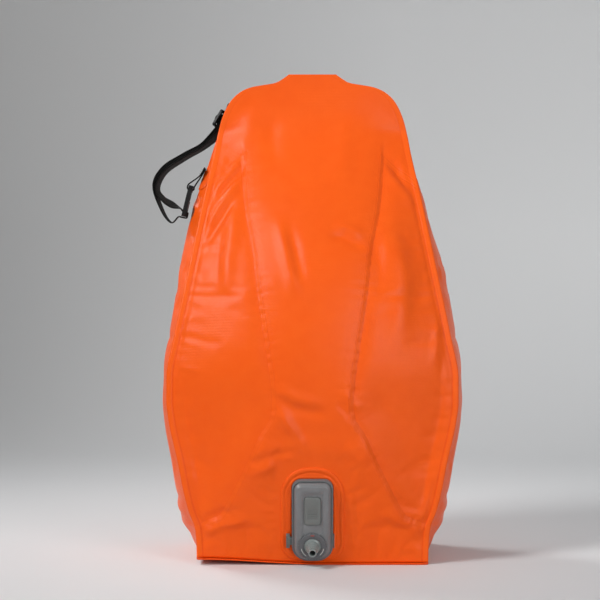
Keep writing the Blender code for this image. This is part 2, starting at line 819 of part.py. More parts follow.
def build_dial(outlet, look, nozzle_look, body_look, rubber):
    """The notched dial, the hose nozzle in its middle and the valve tube behind them."""
    place = (0.0, 0.0, -dial_drop)
    front = -housing_front - skin_gap - dial_thickness
    notched = circle(dial_radius, dial_steps, dial_notches, dial_notch_depth)
    edge = circle(dial_radius - dial_edge, dial_steps, dial_notches, dial_notch_depth)
    sleeve = circle(dial_bore + dial_sleeve_wall, dial_steps)
    bore = circle(dial_bore, dial_steps)
    cuff = circle(valve_radius + skin_gap + dial_sleeve_wall, dial_steps)
    cuff_bore = circle(valve_radius + skin_gap, dial_steps)
    web_back = dial_web_thickness - dial_web_front
    dial = skin([(bore, front), (edge, front), (notched, front + dial_edge),
                 (notched, -housing_front - skin_gap), (sleeve, -housing_front - skin_gap),
                 (sleeve, web_back), (cuff, web_back), (cuff, -dial_sleeve_end),
                 (cuff_bore, -dial_sleeve_end), (cuff_bore, -dial_web_front),
                 (bore, -dial_web_front)], closed=True)
    add_object("flow_dial", dial, look, outlet, place)
    base_back = -dial_web_front - skin_gap
    nozzle = [(nozzle_bore, -nozzle_spigot_end), (nozzle_spigot_radius, -nozzle_spigot_end),
              (nozzle_spigot_radius, base_back), (nozzle_base_radius, base_back),
              (nozzle_base_radius, -nozzle_front + dial_edge),
              (nozzle_base_radius - dial_edge, -nozzle_front),
              (nozzle_neck_radius, -nozzle_front - nozzle_barb)]
    for ring_number in range(nozzle_barbs):
        share = (ring_number + 1) / (nozzle_barbs + 1)
        radius = nozzle_neck_radius + (nozzle_tip_radius - nozzle_neck_radius) * share
        depth = -nozzle_front + (nozzle_front - nozzle_length) * share
        nozzle += [(radius + nozzle_barb / 2, depth + nozzle_barb),
                   (radius - nozzle_barb / 2, depth)]
    nozzle += [(nozzle_tip_radius, -nozzle_length + nozzle_barb),
               (nozzle_tip_radius - nozzle_barb, -nozzle_length), (nozzle_bore, -nozzle_length)]
    add_object("hose_nozzle", turned(nozzle), nozzle_look, outlet, place)
    valve_back = chamber_front - skin_gap
    add_object("valve_tube", turned([(valve_bore, -valve_front), (valve_radius, -valve_front),
                                     (valve_radius, valve_back), (valve_bore, valve_back)]),
               body_look, outlet, place)
    seal_front, seal_back = base_back + skin_gap, -valve_front - skin_gap
    add_object("nozzle_seal", turned([(valve_bore, seal_front),
        (valve_radius - skin_gap, seal_front), (valve_radius - skin_gap, seal_back),
        (valve_bore, seal_back)]), rubber, outlet, place)


def build_release(outlet, look):
    """The ribbed button beside the bezel, with a stem through it, and the fixed catch."""
    bezel_side = module_width / 2 + slide_gap + bezel_wall
    inner = bezel_side + release_travel + slide_gap
    outer = inner + release_width
    step = release_width / (2 * release_ribs - 1)
    comb = [(-inner, -release_back)]
    for number in range(release_ribs):
        start = -inner - 2 * step * number
        comb += [(start, -release_front), (start - step, -release_front)]
        if number < release_ribs - 1:
            comb += [(start - step, release_rib_depth - release_front),
                     (start - 2 * step, release_rib_depth - release_front)]
    comb.append((-outer, -release_back))
    half = release_height / 2
    flat_turn = (-math.pi / 2, 0.0, 0.0)
    place = (0.0, 0.0, -release_drop)
    button = add_object("release_button", skin([(comb, -half), (comb, half)]), look, outlet,
                        place, flat_turn)
    stem_middle = (release_front + release_back) / 2
    stem_tip = bezel_side - skin_gap
    stem_root = inner + release_width / 2
    stem = tombstone(stem_root - stem_tip, release_stem_height, slide_gap, slide_gap)
    weld_on(button, "release_stem", plate(stem, stem_middle + release_stem_depth / 2,
                                          stem_middle - release_stem_depth / 2),
            outlet, (-(stem_root + stem_tip) / 2, 0.0, -release_drop))
    catch = tombstone(catch_width, release_height, catch_width / 3, catch_width / 3)
    add_object("fixed_catch", plate(catch, release_front, release_back), look, outlet,
               (bezel_side + skin_gap + catch_width / 2, 0.0, -release_drop))


def build_battery(outlet, look):
    half = battery_length / 2
    profile = [(battery_radius - battery_edge, -half), (battery_radius, battery_edge - half),
               (battery_radius, half - battery_edge), (battery_radius - battery_edge, half),
               (battery_pole_radius, half), (battery_pole_radius, half + battery_pole)]
    add_object("battery_cell", turned(profile, closed=False, steps=20), look, outlet,
               (0.0, battery_depth, battery_rise), (math.pi / 2, 0.0, 0.0))


def build_pump(outlet, metal, body_look, wheel_look, rubber):
    """Motor, shaft seal, impeller and the chamber that leads to the valve tube."""
    place = (0.0, 0.0, -pump_drop)
    can = [(max(-motor_flat, min(motor_flat, x)), z) for x, z in circle(motor_radius)]
    motor = add_object("pump_motor", plate(can, motor_front, -motor_back), metal, outlet, place)
    cut(motor, "motor_bore", turned([(shaft_radius + skin_gap, shaft_start - cut_overrun / 2),
        (shaft_radius + skin_gap, motor_back + cut_overrun)], closed=False, steps=12),
        outlet, place)
    seal_front, seal_back = motor_back + skin_gap, chamber_front - skin_gap
    add_object("shaft_seal", turned([(shaft_radius + skin_gap, seal_front),
        (shaft_seal_radius, seal_front), (shaft_seal_radius, seal_back),
        (shaft_radius + skin_gap, seal_back)], steps=20), rubber, outlet, place)
    build_impeller(outlet, place, wheel_look)
    drop = dial_drop - pump_drop
    outer = two_circles(chamber_radius, duct_radius, drop)
    inner = two_circles(chamber_radius - chamber_wall, duct_radius - chamber_wall, drop)
    cup = skin([(inner, chamber_front + chamber_floor), (inner, chamber_back),
                (outer, chamber_back), (outer, chamber_front)])
    chamber = add_object("pump_chamber", cup, body_look, outlet, place)
    hole_ends = (chamber_front - cut_overrun / 2, chamber_front + chamber_floor + cut_overrun / 2)
    cut(chamber, "shaft_hole", turned([(shaft_radius + skin_gap, depth) for depth in hole_ends],
                                      closed=False, steps=12), outlet, place)
    cut(chamber, "duct_port", turned([(duct_port_radius, depth) for depth in hole_ends],
                                     closed=False), outlet, (0.0, 0.0, -dial_drop))


def two_circles(large, small, drop, steps=14):
    """The outline round a large circle and a small one below it."""
    lean = math.asin((large - small) / drop)
    outline = arc(0.0, 0.0, large, -lean, math.pi + lean, steps)
    return outline + arc(0.0, -drop, small, math.pi + lean, 2 * math.pi - lean, steps)


def build_impeller(outlet, place, look):
    wheel = [(shaft_radius, shaft_start), (shaft_radius, impeller_front),
             (impeller_radius, impeller_front), (impeller_radius, impeller_front + impeller_plate),
             (impeller_hub_radius, impeller_front + impeller_plate),
             (impeller_hub_radius, impeller_back)]
    impeller = add_object("pump_impeller", turned(wheel, closed=False, steps=24), look, outlet,
                          place)
    for number in range(blade_count):
        turn = 2 * math.pi * number / blade_count
        weld_on(impeller, f"impeller_blade_{number + 1}",
                plate(blade_outline(turn), -impeller_front - impeller_plate / 2, -impeller_back
                      + impeller_plate / 2), outlet, place)


def blade_outline(turn, steps=5):
    """A backward-curved blade from the hub to the rim, as a band of even thickness."""
    start, end = impeller_hub_radius * 0.6, impeller_radius - skin_gap
    inner_side, outer_side = [], []
    for step in range(steps + 1):
        share = step / steps
        radius = start + (end - start) * share
        angle = turn + blade_sweep * share
        half = blade_thickness / 2 / radius
        inner_side.append((radius * math.cos(angle - half), radius * math.sin(angle - half)))
        outer_side.append((radius * math.cos(angle + half), radius * math.sin(angle + half)))
    return inner_side + outer_side[::-1]


def build_strainer(outlet, look):
    """The slotted cage over the intake, on the tub's back inside the bag."""
    start = socket_depth + skin_gap
    place = (0.0, 0.0, -pump_drop)
    cup = skin([(circle(cage_radius - cage_wall), start + cage_depth - cage_wall),
                (circle(cage_radius - cage_wall), start), (circle(cage_radius), start),
                (circle(cage_radius), start + cage_depth)])
    cage = add_object("intake_strainer", cup, look, outlet, place)
    length = cage_radius * cage_slot_length_share
    for number in range(cage_slots):
        turn = 2 * math.pi * number / cage_slots
        slot = tombstone(length, cage_slot_width, cage_slot_width / 3, cage_slot_width / 3)
        middle = cage_radius + cage_wall - length / 2
        place_here = (middle * math.cos(turn), 0.0, middle * math.sin(turn) - pump_drop)
        cut(cage, f"cage_slot_{number + 1}",
            plate(slot, -start - cage_wall, -start - cage_depth - cut_overrun), outlet,
            place_here, (0.0, -turn, 0.0))


def build_filler(back, hard, rubber):
    """The screw filler on the back: neck, backing ring, cap and its gasket."""
    filler = add_empty("filler_frame", (0.0, filler_reach, filler_height),
                       (filler_lean, 0.0, 0.0))
    neck_radius = neck_bore + neck_wall
    hole = [(neck_radius + skin_gap, -cut_overrun), (neck_radius + skin_gap, cut_overrun)]
    cut(back, "filler_hole", turned(hole, closed=False), filler)
    flange_out = skin_gap + filler_flange_thickness
    add_object("filler_neck", turned([(neck_bore, -neck_in), (neck_radius, -neck_in),
        (neck_radius, skin_gap), (filler_flange_radius, skin_gap),
        (filler_flange_radius, flange_out - skin_gap),
        (filler_flange_radius - filler_flange_thickness, flange_out),
        (neck_radius, flange_out), (neck_radius, neck_out), (neck_bore, neck_out)]),
        hard, filler)
    ring_out = -fabric - skin_gap
    add_object("filler_backing_ring", turned([(neck_radius + skin_gap, ring_out),
        (filler_flange_radius - filler_flange_thickness, ring_out),
        (filler_flange_radius - filler_flange_thickness, ring_out - filler_flange_thickness),
        (neck_radius + skin_gap, ring_out - filler_flange_thickness)]), hard, filler)
    gasket_in, gasket_out = neck_out + skin_gap, neck_out + skin_gap + gasket_thickness
    gasket_rim = neck_radius + skin_gap
    add_object("cap_gasket", turned([(gasket_rim - gasket_width, gasket_in),
        (gasket_rim, gasket_in), (gasket_rim, gasket_out),
        (gasket_rim - gasket_width, gasket_out)]), rubber, filler)
    build_cap(filler, flange_out, gasket_out + skin_gap, neck_radius + cap_side_gap, hard)


def build_cap(filler, flange_out, ceiling, inner, hard):
    """The grip-ribbed cap, a cup that stands over the neck."""
    steps = cap_ribs * 4
    outer, top = inner + cap_wall, ceiling + cap_top
    skirt = flange_out + cap_skirt_gap
    inside = circle(inner, steps)
    rim = circle(outer, steps, cap_ribs, cap_rib_depth)
    crest = circle(outer - cap_bevel, steps, cap_ribs, cap_rib_depth)
    add_object("filler_cap", skin([(inside, ceiling), (inside, skirt), (rim, skirt),
                                   (rim, top - cap_bevel), (crest, top)]), hard, filler)


def ribbon(points, sides, width, thickness):
    """Webbing along points; sides are the directions across it."""
    corners, faces = [], []
    last = len(points) - 1
    for index, (point, side) in enumerate(zip(points, sides)):
        along = (points[min(index + 1, last)] - points[max(index - 1, 0)]).normalized()
        across = (side - along * side.dot(along)).normalized()
        over = along.cross(across)
        for across_sign, over_sign in ((1, 1), (-1, 1), (-1, -1), (1, -1)):
            corners.append(point + across * across_sign * width / 2
                           + over * over_sign * thickness / 2)
    for index in range(last):
        for corner in range(4):
            after = (corner + 1) % 4
            faces.append((index * 4 + corner, index * 4 + after,
                          index * 4 + 4 + after, index * 4 + 4 + corner))
    faces += [(3, 2, 1, 0), (last * 4, last * 4 + 1, last * 4 + 2, last * 4 + 3)]
    return mesh_from("ribbon", corners, faces)


def smooth_path(points, parts=4):
    """A curve through the points, with parts steps between each two of them."""
    path = []
    for index in range(len(points) - 1):
        before = points[max(index - 1, 0)]
        start, end = points[index], points[index + 1]
        after = points[min(index + 2, len(points) - 1)]
        for part in range(parts):
            t = part / parts
            path.append(0.5 * (2 * start + (end - before) * t
                        + (2 * before - 5 * start + 4 * end - after) * t**2
                        + (3 * start - before - 3 * end + after) * t**3))
    path.append(points[-1])
    return path


def add_webbing(name, route, width, look, parts=4):
    """Webbing from (point, side) pairs, smoothed."""
    points = smooth_path([Vector(point) for point, _ in route], parts)
    sides = smooth_path([Vector(side) for _, side in route], parts)
    return add_object(name, ribbon(points, sides, width, webbing_thickness), look)


def hook_body_mesh():
    """The hook's outline, from which the eye, the webbing slot and the gate's gap are cut."""
    outline = tombstone(hook_width, hook_length, hook_width * hook_top_share, hook_bar)
    return skin([(outline, -hook_thickness / 2), (outline, hook_thickness / 2)])


def build_hook(side_name, frame, look, gate_look):
    hook = add_object(f"{side_name}_hook", hook_body_mesh(), look, frame)
    half, top = hook_thickness, hook_length / 2
    inner_width = hook_width - 2 * hook_bar
    eye_height = hook_length * hook_eye_share
    eye = tombstone(inner_width, eye_height, inner_width * hook_top_share, hook_bar / 2)
    eye_middle = top - hook_bar - eye_height / 2
    cut(hook, f"{side_name}_eye", plate(eye, half, -half), frame, (0.0, 0.0, eye_middle))
    slot = tombstone(webbing_width + 2 * slide_gap, hook_slot_height, skin_gap, skin_gap)
    slot_middle = -top + hook_bar + hook_slot_height / 2
    cut(hook, f"{side_name}_slot", plate(slot, half, -half), frame, (0.0, 0.0, slot_middle))
    gate_length = eye_height * gate_length_share
    gap = tombstone(hook_bar * 2, gate_length + 2 * gate_gap, gate_gap, gate_gap)
    gate_middle = eye_middle - eye_height * gate_drop_share
    gate_x = hook_width / 2 - hook_bar / 2
    cut(hook, f"{side_name}_gate_gap", plate(gap, half, -half), frame,
        (gate_x, 0.0, gate_middle))
    pivot = gate_middle - gate_length / 2 + gate_width / 2
    gate = [(x, z - pivot + gate_middle) for x, z in
            tombstone(gate_width, gate_length, gate_width / 3, gate_width / 2.01)]
    add_object(f"{side_name}_hook_gate", skin([(gate, -gate_thickness / 2),
               (gate, gate_thickness / 2)]), gate_look, frame, (gate_x, 0.0, pivot))


def hook_route(frame_matrix, outward):
    """The webbing round the hook's lower bar, from the slot's outer side to below the bar."""
    bar_top = -hook_length / 2 + hook_bar
    bar_low = -hook_length / 2
    reach = hook_thickness / 2
    clear = skin_gap + webbing_thickness / 2 + skin_gap
    corner = clear * 0.75
    local = [(reach + hook_bar, bar_top + hook_slot_height), (reach, bar_top + clear * 1.4),
             (-reach, bar_top + clear), (-reach - corner, bar_top + corner),
             (-reach - clear, bar_top - clear), (-reach - clear, bar_low + clear / 2),
             (-reach - corner, bar_low - corner), (-reach, bar_low - clear),
             (reach, bar_low - clear * 1.2), (reach + hook_bar, bar_low - clear * 1.6)]
    return [frame_matrix @ Vector((0.0, outward * out, z)) for out, z in local]


def row_at(rows, z):
    """Where a height falls between the rows of a panel's grid."""
    low = max(index for index in range(len(rows) - 1) if rows[index][0][2] <= z)
    below, above = rows[low][0][2], rows[low + 1][0][2]
    return low + (z - below) / (above - below)


def build_anchor(name, panel, columns, frame, look, webbing):
    """A fabric patch on the panel and the loop of webbing on it that holds a hook's eye."""
    lift = anchor_patch_gap + anchor_patch_thickness
    rows = [row_at(panel, hook_z + rise) for rise in (anchor_rise, anchor_rise + anchor_height)]
    sheet = [[over_grid(panel, row, column, lift) for column in spread(*columns, 3)]
             for row in spread(*rows, 3)]
    add_sheet(f"{name}_anchor_patch", sheet, look, anchor_patch_thickness)
    middle = sum(columns) / 2
    layer = webbing_thickness + 2 * skin_gap
    top, low = spread(*rows, 10)[9], spread(*rows, 10)[6]
    under = [over_grid(panel, row, middle, lift + layer) for row in (top, low)]
    over = [over_grid(panel, row, middle, lift + 2 * layer) for row in (low, top)]
    bar_top = hook_length / 2
    bar_low = bar_top - hook_bar
    reach = hook_thickness / 2 + webbing_thickness
    below = bar_low - 1.2 * webbing_thickness
    turn = [(-reach, bar_top), (-reach, bar_low), (-reach / 2, below), (reach / 2, below),
            (reach, bar_low), (reach, bar_top), (reach / 2, bar_top + 2 * webbing_thickness)]
    route = under + [frame @ Vector((0.0, out, z)) for out, z in turn] + over
    across = frame.to_3x3() @ Vector((1.0, 0.0, 0.0))
    add_webbing(f"{name}_anchor_loop", [(point, across) for point in route],
                anchor_web_width, webbing, 3)


def adjuster_axes():
    """The adjuster's own directions: across the webbing, its normal and along the webbing."""
    along = Vector(adjuster_direction_shares).normalized()
    back = Vector((0.0, 1.0, 0.0))
    flat = (back - along * back.dot(along)).normalized()
    across = (flat * math.cos(adjuster_roll)
              + along.cross(flat) * math.sin(adjuster_roll)).normalized()
    return across, along.cross(across), along


def adjuster_place():
    return Vector((adjuster_x, adjuster_y, bag_height * adjuster_height_share))


def build_adjuster(look):
    across, normal, along = adjuster_axes()
    matrix = Matrix((across, normal, along)).transposed()
    frame = add_empty("adjuster_frame", adjuster_place(), matrix.to_euler())
    height = 3 * adjuster_bar + 2 * adjuster_slot
    outline = tombstone(adjuster_width, height, adjuster_bar, adjuster_bar)
    buckle = add_object("strap_adjuster", skin([(outline, -adjuster_thickness / 2),
                        (outline, adjuster_thickness / 2)]), look, frame)
    for name, sign in (("upper", 1), ("lower", -1)):
        slot = tombstone(webbing_width + 2 * slide_gap, adjuster_slot, skin_gap, skin_gap)
        cut(buckle, f"adjuster_{name}_slot", plate(slot, adjuster_thickness, -adjuster_thickness),
            frame, (0.0, 0.0, sign * (adjuster_bar + adjuster_slot) / 2))


def adjuster_point(out, run):
    across, normal, along = adjuster_axes()
    return adjuster_place() + normal * out + along * run


def adjuster_route(places):
    across = adjuster_axes()[0]
    return [(adjuster_point(out, run), across) for out, run in places]


def at_height(places, shares):
    return [(x, y, bag_height * share) for (x, y), share in zip(places, shares)]


def build_strap(webbing, left_frame, right_frame):
    """One length of webbing: sewn round the adjuster's middle bar, down through the left
    hook, back up over the adjuster's middle bar and behind the bag to the right hook."""
    level = Vector((1.0, 0.0, 0.0))
    out_sides, back_sides = [[Vector(side) for side in sides] for sides in
                             (strap_outward_side_shares, strap_return_side_shares)]
    layer = webbing_thickness + skin_gap
    face = adjuster_thickness / 2 + layer - webbing_thickness / 2 + skin_gap
    wrap = adjuster_bar / 2 + layer - webbing_thickness / 2 + skin_gap
    end = 1.5 * adjuster_bar + adjuster_slot
    sewn = [(-face - layer, -end), (-face - layer, -wrap - layer), (-face / 2, -wrap),
            (face / 2, -wrap), (face, 0.0), (face / 2, wrap), (-face, wrap),
            (-face - layer, 0.0), (-face - 2 * layer, -wrap - layer), (-face - 2 * layer, -end)]
    running = [(-face, -end), (-face, -end + adjuster_bar), (0.0, -wrap - 1.3 * layer),
               (face + layer / 2, -wrap), (face + layer, 0.0), (face + layer / 2, wrap),
               (0.0, wrap + 1.3 * layer), (-face, end - adjuster_bar - layer),
               (-face, end - adjuster_bar), (-face, end), (-face, end + adjuster_bar)]
    route = adjuster_route(sewn)
    route += zip(at_height(strap_outward_places, strap_outward_height_shares), out_sides)
    side_on = Vector((0.0, 1.0, 0.0))
    route += [(point, side_on) for point in hook_route(left_frame, 1.0)]
    route += zip(at_height(strap_return_places, strap_return_height_shares), back_sides)
    route += adjuster_route(running)
    route += zip(at_height(strap_over_places, strap_over_height_shares), strap_over_side_shares)
    for (x, lift), share, lean in zip(strap_back_places, strap_back_height_shares,
                                      strap_back_lean_shares):
        z = bag_height * share
        side = Vector((math.sin(lean), 0.0, math.cos(lean)))
        rise = back_y(x + side.x * fabric, z + side.z * fabric) - back_y(x, z)
        side.y = rise / fabric
        route.append(((x, back_y(x, z) + lift, z), side))
    route += [(point, level) for point in hook_route(right_frame, 1.0)[::-1]]
    add_webbing("strap_webbing", route, webbing_width, webbing, 3)


def build_strap_parts(orange, webbing, hard):
    left = add_empty("left_hook_frame", (-hook_x, hook_y, hook_z),
                     (hook_tilt, 0.0, math.pi / 2))
    right_y = back_y(back_hook_x, hook_z) + back_hook_lift
    right = add_empty("right_hook_frame", (back_hook_x, right_y, hook_z),
                      (back_hook_lean, 0.0, 0.0))
    bpy.context.view_layer.update()
    build_hook("left", left, hard, hard)
    build_hook("right", right, hard, hard)
    build_anchor("left", side_rows(-1), left_anchor_column_shares, left.matrix_world, orange,
                 webbing)
    build_anchor("right", back_rows(), right_anchor_column_shares, right.matrix_world, orange,
                 webbing)
    build_adjuster(hard)
    build_strap(webbing, left.matrix_world, right.matrix_world)


def build_outlet(centre, patch_look):
    bezel = finish("bezel_plastic", (0.17, 0.175, 0.18), 0.5)
    grey = finish("housing_plastic", (0.22, 0.215, 0.21), 0.45)
    button_grey = finish("button_plastic", (0.15, 0.155, 0.15), 0.55)
    dial_grey = finish("dial_plastic", (0.12, 0.12, 0.12), 0.5)
    nozzle_grey = finish("nozzle_plastic", (0.17, 0.19, 0.19), 0.4)
    clear = finish("pump_plastic", (0.6, 0.62, 0.62), 0.4)
    rubber = finish("seal_rubber", (0.02, 0.02, 0.02), 0.7)
    steel = finish("steel", (0.55, 0.55, 0.56), 0.3, 1.0)
    board = finish("board_laminate", (0.02, 0.16, 0.06), 0.5)
    sleeve = finish("battery_sleeve", (0.05, 0.12, 0.35), 0.4)
    outlet = add_empty("outlet_frame", (0.0, -outlet_reach, outlet_height),
                       (outlet_lean, 0.0, 0.0))
    build_socket(outlet, centre, bezel, patch_look)
    build_front_housing(outlet, grey)
    build_rear_housing(outlet, grey)
    build_screws_and_seals(outlet, steel, rubber)
    build_button(outlet, button_grey, rubber, board, steel)
    build_dial(outlet, dial_grey, nozzle_grey, clear, rubber)
    build_release(outlet, button_grey)
    build_battery(outlet, sleeve)
    build_pump(outlet, steel, clear, clear, rubber)
    build_strainer(outlet, bezel)


def build():
    clear_scene()
    orange = finish("orange_coated_fabric", (0.86, 0.13, 0.02), 0.45)
    base_orange = finish("base_fabric", (0.75, 0.1, 0.015), 0.5)
    black = finish("black_plastic", (0.02, 0.02, 0.02), 0.4)
    webbing = finish("black_webbing", (0.015, 0.013, 0.013), 0.85)
    rubber = finish("cap_rubber", (0.03, 0.03, 0.03), 0.7)
    centre, back = build_bag(orange, base_orange)
    build_outlet(centre, orange)
    build_filler(back, black, rubber)
    build_strap_parts(orange, webbing, black)


build()
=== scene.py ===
# %% [markdown]
# # A standing camp shower bag
# This script dresses a finished CAD model. The model comes in as a frame of solids that already
# move on their joints, and each cell below adds one piece or one finish on top of it. Everything
# is in metres, with +Z up and the front of the bag towards -Y.

# %% Load the frame
import math
from functools import partial

import bmesh
import bpy
import numpy as np
from mathutils import Euler, Matrix, Vector


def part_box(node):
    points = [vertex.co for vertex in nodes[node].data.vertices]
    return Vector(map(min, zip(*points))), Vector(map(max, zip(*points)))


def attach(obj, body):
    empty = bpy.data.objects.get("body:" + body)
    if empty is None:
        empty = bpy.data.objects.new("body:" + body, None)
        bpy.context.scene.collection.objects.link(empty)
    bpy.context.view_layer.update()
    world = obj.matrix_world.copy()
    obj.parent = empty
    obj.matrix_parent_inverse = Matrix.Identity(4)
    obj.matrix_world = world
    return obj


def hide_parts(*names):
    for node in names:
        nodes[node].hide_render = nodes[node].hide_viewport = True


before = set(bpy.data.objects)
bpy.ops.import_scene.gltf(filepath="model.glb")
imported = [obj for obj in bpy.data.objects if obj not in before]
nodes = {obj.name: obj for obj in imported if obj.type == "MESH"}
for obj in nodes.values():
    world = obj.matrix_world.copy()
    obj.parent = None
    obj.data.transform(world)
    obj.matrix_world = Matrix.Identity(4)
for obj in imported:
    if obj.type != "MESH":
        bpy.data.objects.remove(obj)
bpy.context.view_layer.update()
scene = bpy.context.scene


def new_object(name, data):
    made = bpy.data.objects.new(name, data)
    scene.collection.objects.link(made)
    return made


# %% [markdown]
# ## Camera
# A product photograph of something half a metre tall is usually taken from a few metres away with
# a long lens, so that upright edges stay upright. The camera stands a little above the middle of
# the bag and looks slightly down. Its small shift frames the bag without tilting the view.

# %% Set up the camera
camera_data = bpy.data.cameras.new("camera")
camera_data.lens = 137.2
camera_data.sensor_width = 36.0
camera_data.shift_x = -0.0208
camera_data.shift_y = 0.0285
camera = new_object("camera", camera_data)
camera.location = (0.0, -2.59, 0.415)
look = Vector((0.0, 0.0, 0.27)) - camera.location
camera.rotation_euler = look.to_track_quat("-Z", "Y").to_euler()
scene.camera = camera
print("camera distance", round(look.length, 3))

# %% [markdown]
# ## Materials: small helpers
# Shader trees are built in code. An input is fed either with a plain value or with a wire, so one
# call adds a node with all that goes into it. Sums have short names, and a shared effect, such as
# a weave, is a node group with named inputs, which each material sets to its own scale.

# %% Helpers for node trees
FLOAT, VECTOR, INT = "NodeSocketFloat", "NodeSocketVector", "NodeSocketInt"
GEOMETRY, MATERIAL = "NodeSocketGeometry", "NodeSocketMaterial"


def feed(tree, socket, value):
    """Wire a socket from another one, or set it to a plain value."""
    if isinstance(value, bpy.types.NodeSocket):
        tree.links.new(value, socket)
    else:
        socket.default_value = value


def feed_all(tree, node, **values):
    """Feed a node's inputs by their names, with _ for a space."""
    for label, value in values.items():
        feed(tree, node.inputs[label.replace("_", " ")], value)
    return node


def add_node(tree, kind, inputs=None, **settings):
    """One node with its settings, and its inputs fed by name or number."""
    made = tree.nodes.new(kind)
    for key, value in settings.items():
        setattr(made, key, value)
    for label, value in (inputs or {}).items():
        feed(tree, made.inputs[label], value)
    return made


def maths(tree, operation, first, *others, clamp=False):
    """One Math node, or one for each further value that the sum takes in."""
    total = first
    for more in [(value,) for value in others] or [()]:
        total = add_node(tree, "ShaderNodeMath", dict(enumerate((total, *more))),
                         operation=operation, use_clamp=clamp).outputs[0]
    return total


def sums(tree):
    """The four plain sums of a tree: plus, minus, times and over."""
    return [partial(maths, tree, word) for word in ("ADD", "SUBTRACT", "MULTIPLY", "DIVIDE")]


def wave(tree, value, length):
    """A sine that repeats each length."""
    _, _, times, over = sums(tree)
    return maths(tree, "SINE", times(over(value, length), 2 * math.pi))


def band(tree, value, centre, half, soft):
    """One inside centre +- half, fading to zero over soft."""
    away = maths(tree, "ABSOLUTE", maths(tree, "SUBTRACT", value, centre))
    return add_node(tree, "ShaderNodeMapRange",
                    {"Value": away, "From Min": half, "From Max": half + soft,
                     "To Min": 1.0, "To Max": 0.0},
                    interpolation_type="SMOOTHSTEP").outputs["Result"]


def ramp(tree, value, start, end):
    """Zero at start, one at end, straight in between."""
    return add_node(tree, "ShaderNodeMapRange",
                    {"Value": value, "From Min": start, "From Max": end}).outputs["Result"]


def mix_colour(tree, factor, first, second):
    """A blend of two colours, each a socket or its red, green and blue."""
    first, second = [(*colour, 1.0) if isinstance(colour, tuple) else colour
                     for colour in (first, second)]
    return add_node(tree, "ShaderNodeMix", {0: factor, 6: first, 7: second},
                    data_type="RGBA").outputs[2]


def noise(tree, vector, scale, detail=3.0, rough=0.5):
    return add_node(tree, "ShaderNodeTexNoise",
                    {"Vector": vector, "Scale": scale, "Detail": detail,
                     "Roughness": rough}).outputs["Fac"]


def axes(tree, vector):
    """A vector's x, y and z."""
    return add_node(tree, "ShaderNodeSeparateXYZ", {0: vector}).outputs


def object_place(tree):
    return add_node(tree, "ShaderNodeTexCoord").outputs["Object"]


def cloth_place(tree):
    return add_node(tree, "ShaderNodeUVMap", uv_map="cloth").outputs["UV"]


def attribute(tree, name):
    return add_node(tree, "ShaderNodeAttribute", attribute_name=name).outputs["Fac"]


def new_group(name, inputs, outputs, kind="ShaderNodeTree"):
    tree = bpy.data.node_groups.new(name, kind)
    for label, socket_kind, value in inputs:
        made = tree.interface.new_socket(label, in_out="INPUT", socket_type=socket_kind)
        if value is not None:
            made.default_value = value
    for label, socket_kind in outputs:
        tree.interface.new_socket(label, in_out="OUTPUT", socket_type=socket_kind)
    return tree, add_node(tree, "NodeGroupInput"), add_node(tree, "NodeGroupOutput")


def use_group(tree, group, **values):
    return feed_all(tree, add_node(tree, "ShaderNodeGroup", node_tree=group), **values).outputs


def new_material(name):
    made = bpy.data.materials.new(name)
    made.use_nodes = True
    return made, made.node_tree, made.node_tree.nodes["Principled BSDF"]


def feed_shader(tree, shader, height, distance, strength=1.0, **values):
    """Feed the shader's inputs, with the relief's height through a Bump node."""
    bump = add_node(tree, "ShaderNodeBump",
                    {"Strength": strength, "Distance": distance, "Height": height})
    feed_all(tree, shader, Normal=bump.outputs["Normal"], **values)


print("helpers ready")

# %% [markdown]
# ## Floor, backdrop and light
# The bag stands on a pale seamless sweep, a sheet that curves up behind it so that no horizon
# shows. One soft lamp high on the left models the folds, a broad one low on the right opens
# the shadows, a third keeps the back from going dark, and a plain pale world does the rest.
# The key has a narrow spread, as from a softbox with a grid, so the foot stays in shade.
# The sheet can't be seen from behind, so the back of the bag can be photographed too. Its paper
# is painted darker on the left of the backdrop and on the right of the floor: painted shade.

# %% Build the sweep and the lamps
def build_sweep():
    profile = [(-3.2, 0.0), (0.9, 0.0)]
    for step in range(1, 13):
        turn = math.pi / 2 * step / 12
        profile.append((0.9 + 0.7 * math.sin(turn), 0.7 - 0.7 * math.cos(turn)))
    profile.append((1.6, 3.2))
    shape = bmesh.new()
    rows = [[shape.verts.new((side * 4.0, y, z)) for side in (-1, 1)] for y, z in profile]
    for low, high in zip(rows, rows[1:]):
        shape.faces.new((low[0], low[1], high[1], high[0]))
    mesh = bpy.data.meshes.new("studio_sweep")
    shape.to_mesh(mesh)
    shape.free()
    mesh.shade_smooth()
    return new_object("studio_sweep", mesh)


def sweep_paint():
    paint, tree, shader = new_material("sweep_paper")
    _, minus, times, _ = sums(tree)
    place = object_place(tree)
    x, y, _ = axes(tree, place)
    behind = ramp(tree, y, 0.7, 1.5)
    # Painted shade: the backdrop is mixed darker towards the left and the floor towards the right.
    left_wall_painted_shade = times(behind, ramp(tree, x, 0.15, -0.75))
    right_floor_painted_shadow = times(minus(1.0, behind), ramp(tree, x, -0.1, 0.6))
    colour = mix_colour(tree, noise(tree, place, 2.2, 2.0), (0.66, 0.665, 0.67),
                        (0.70, 0.70, 0.70))
    # The last two tints are the colours of that painted shade.
    for share, tint in ((behind, (0.84, 0.845, 0.84)), (left_wall_painted_shade, (0.60, 0.60, 0.59)),
                        (right_floor_painted_shadow, (0.60, 0.605, 0.61))):
        colour = mix_colour(tree, share, colour, tint)
    facing_away = add_node(tree, "ShaderNodeNewGeometry").outputs["Backfacing"]
    feed_all(tree, shader, Base_Color=colour, Alpha=minus(1.0, facing_away), Roughness=0.9,
             Specular_IOR_Level=0.2)
    return paint


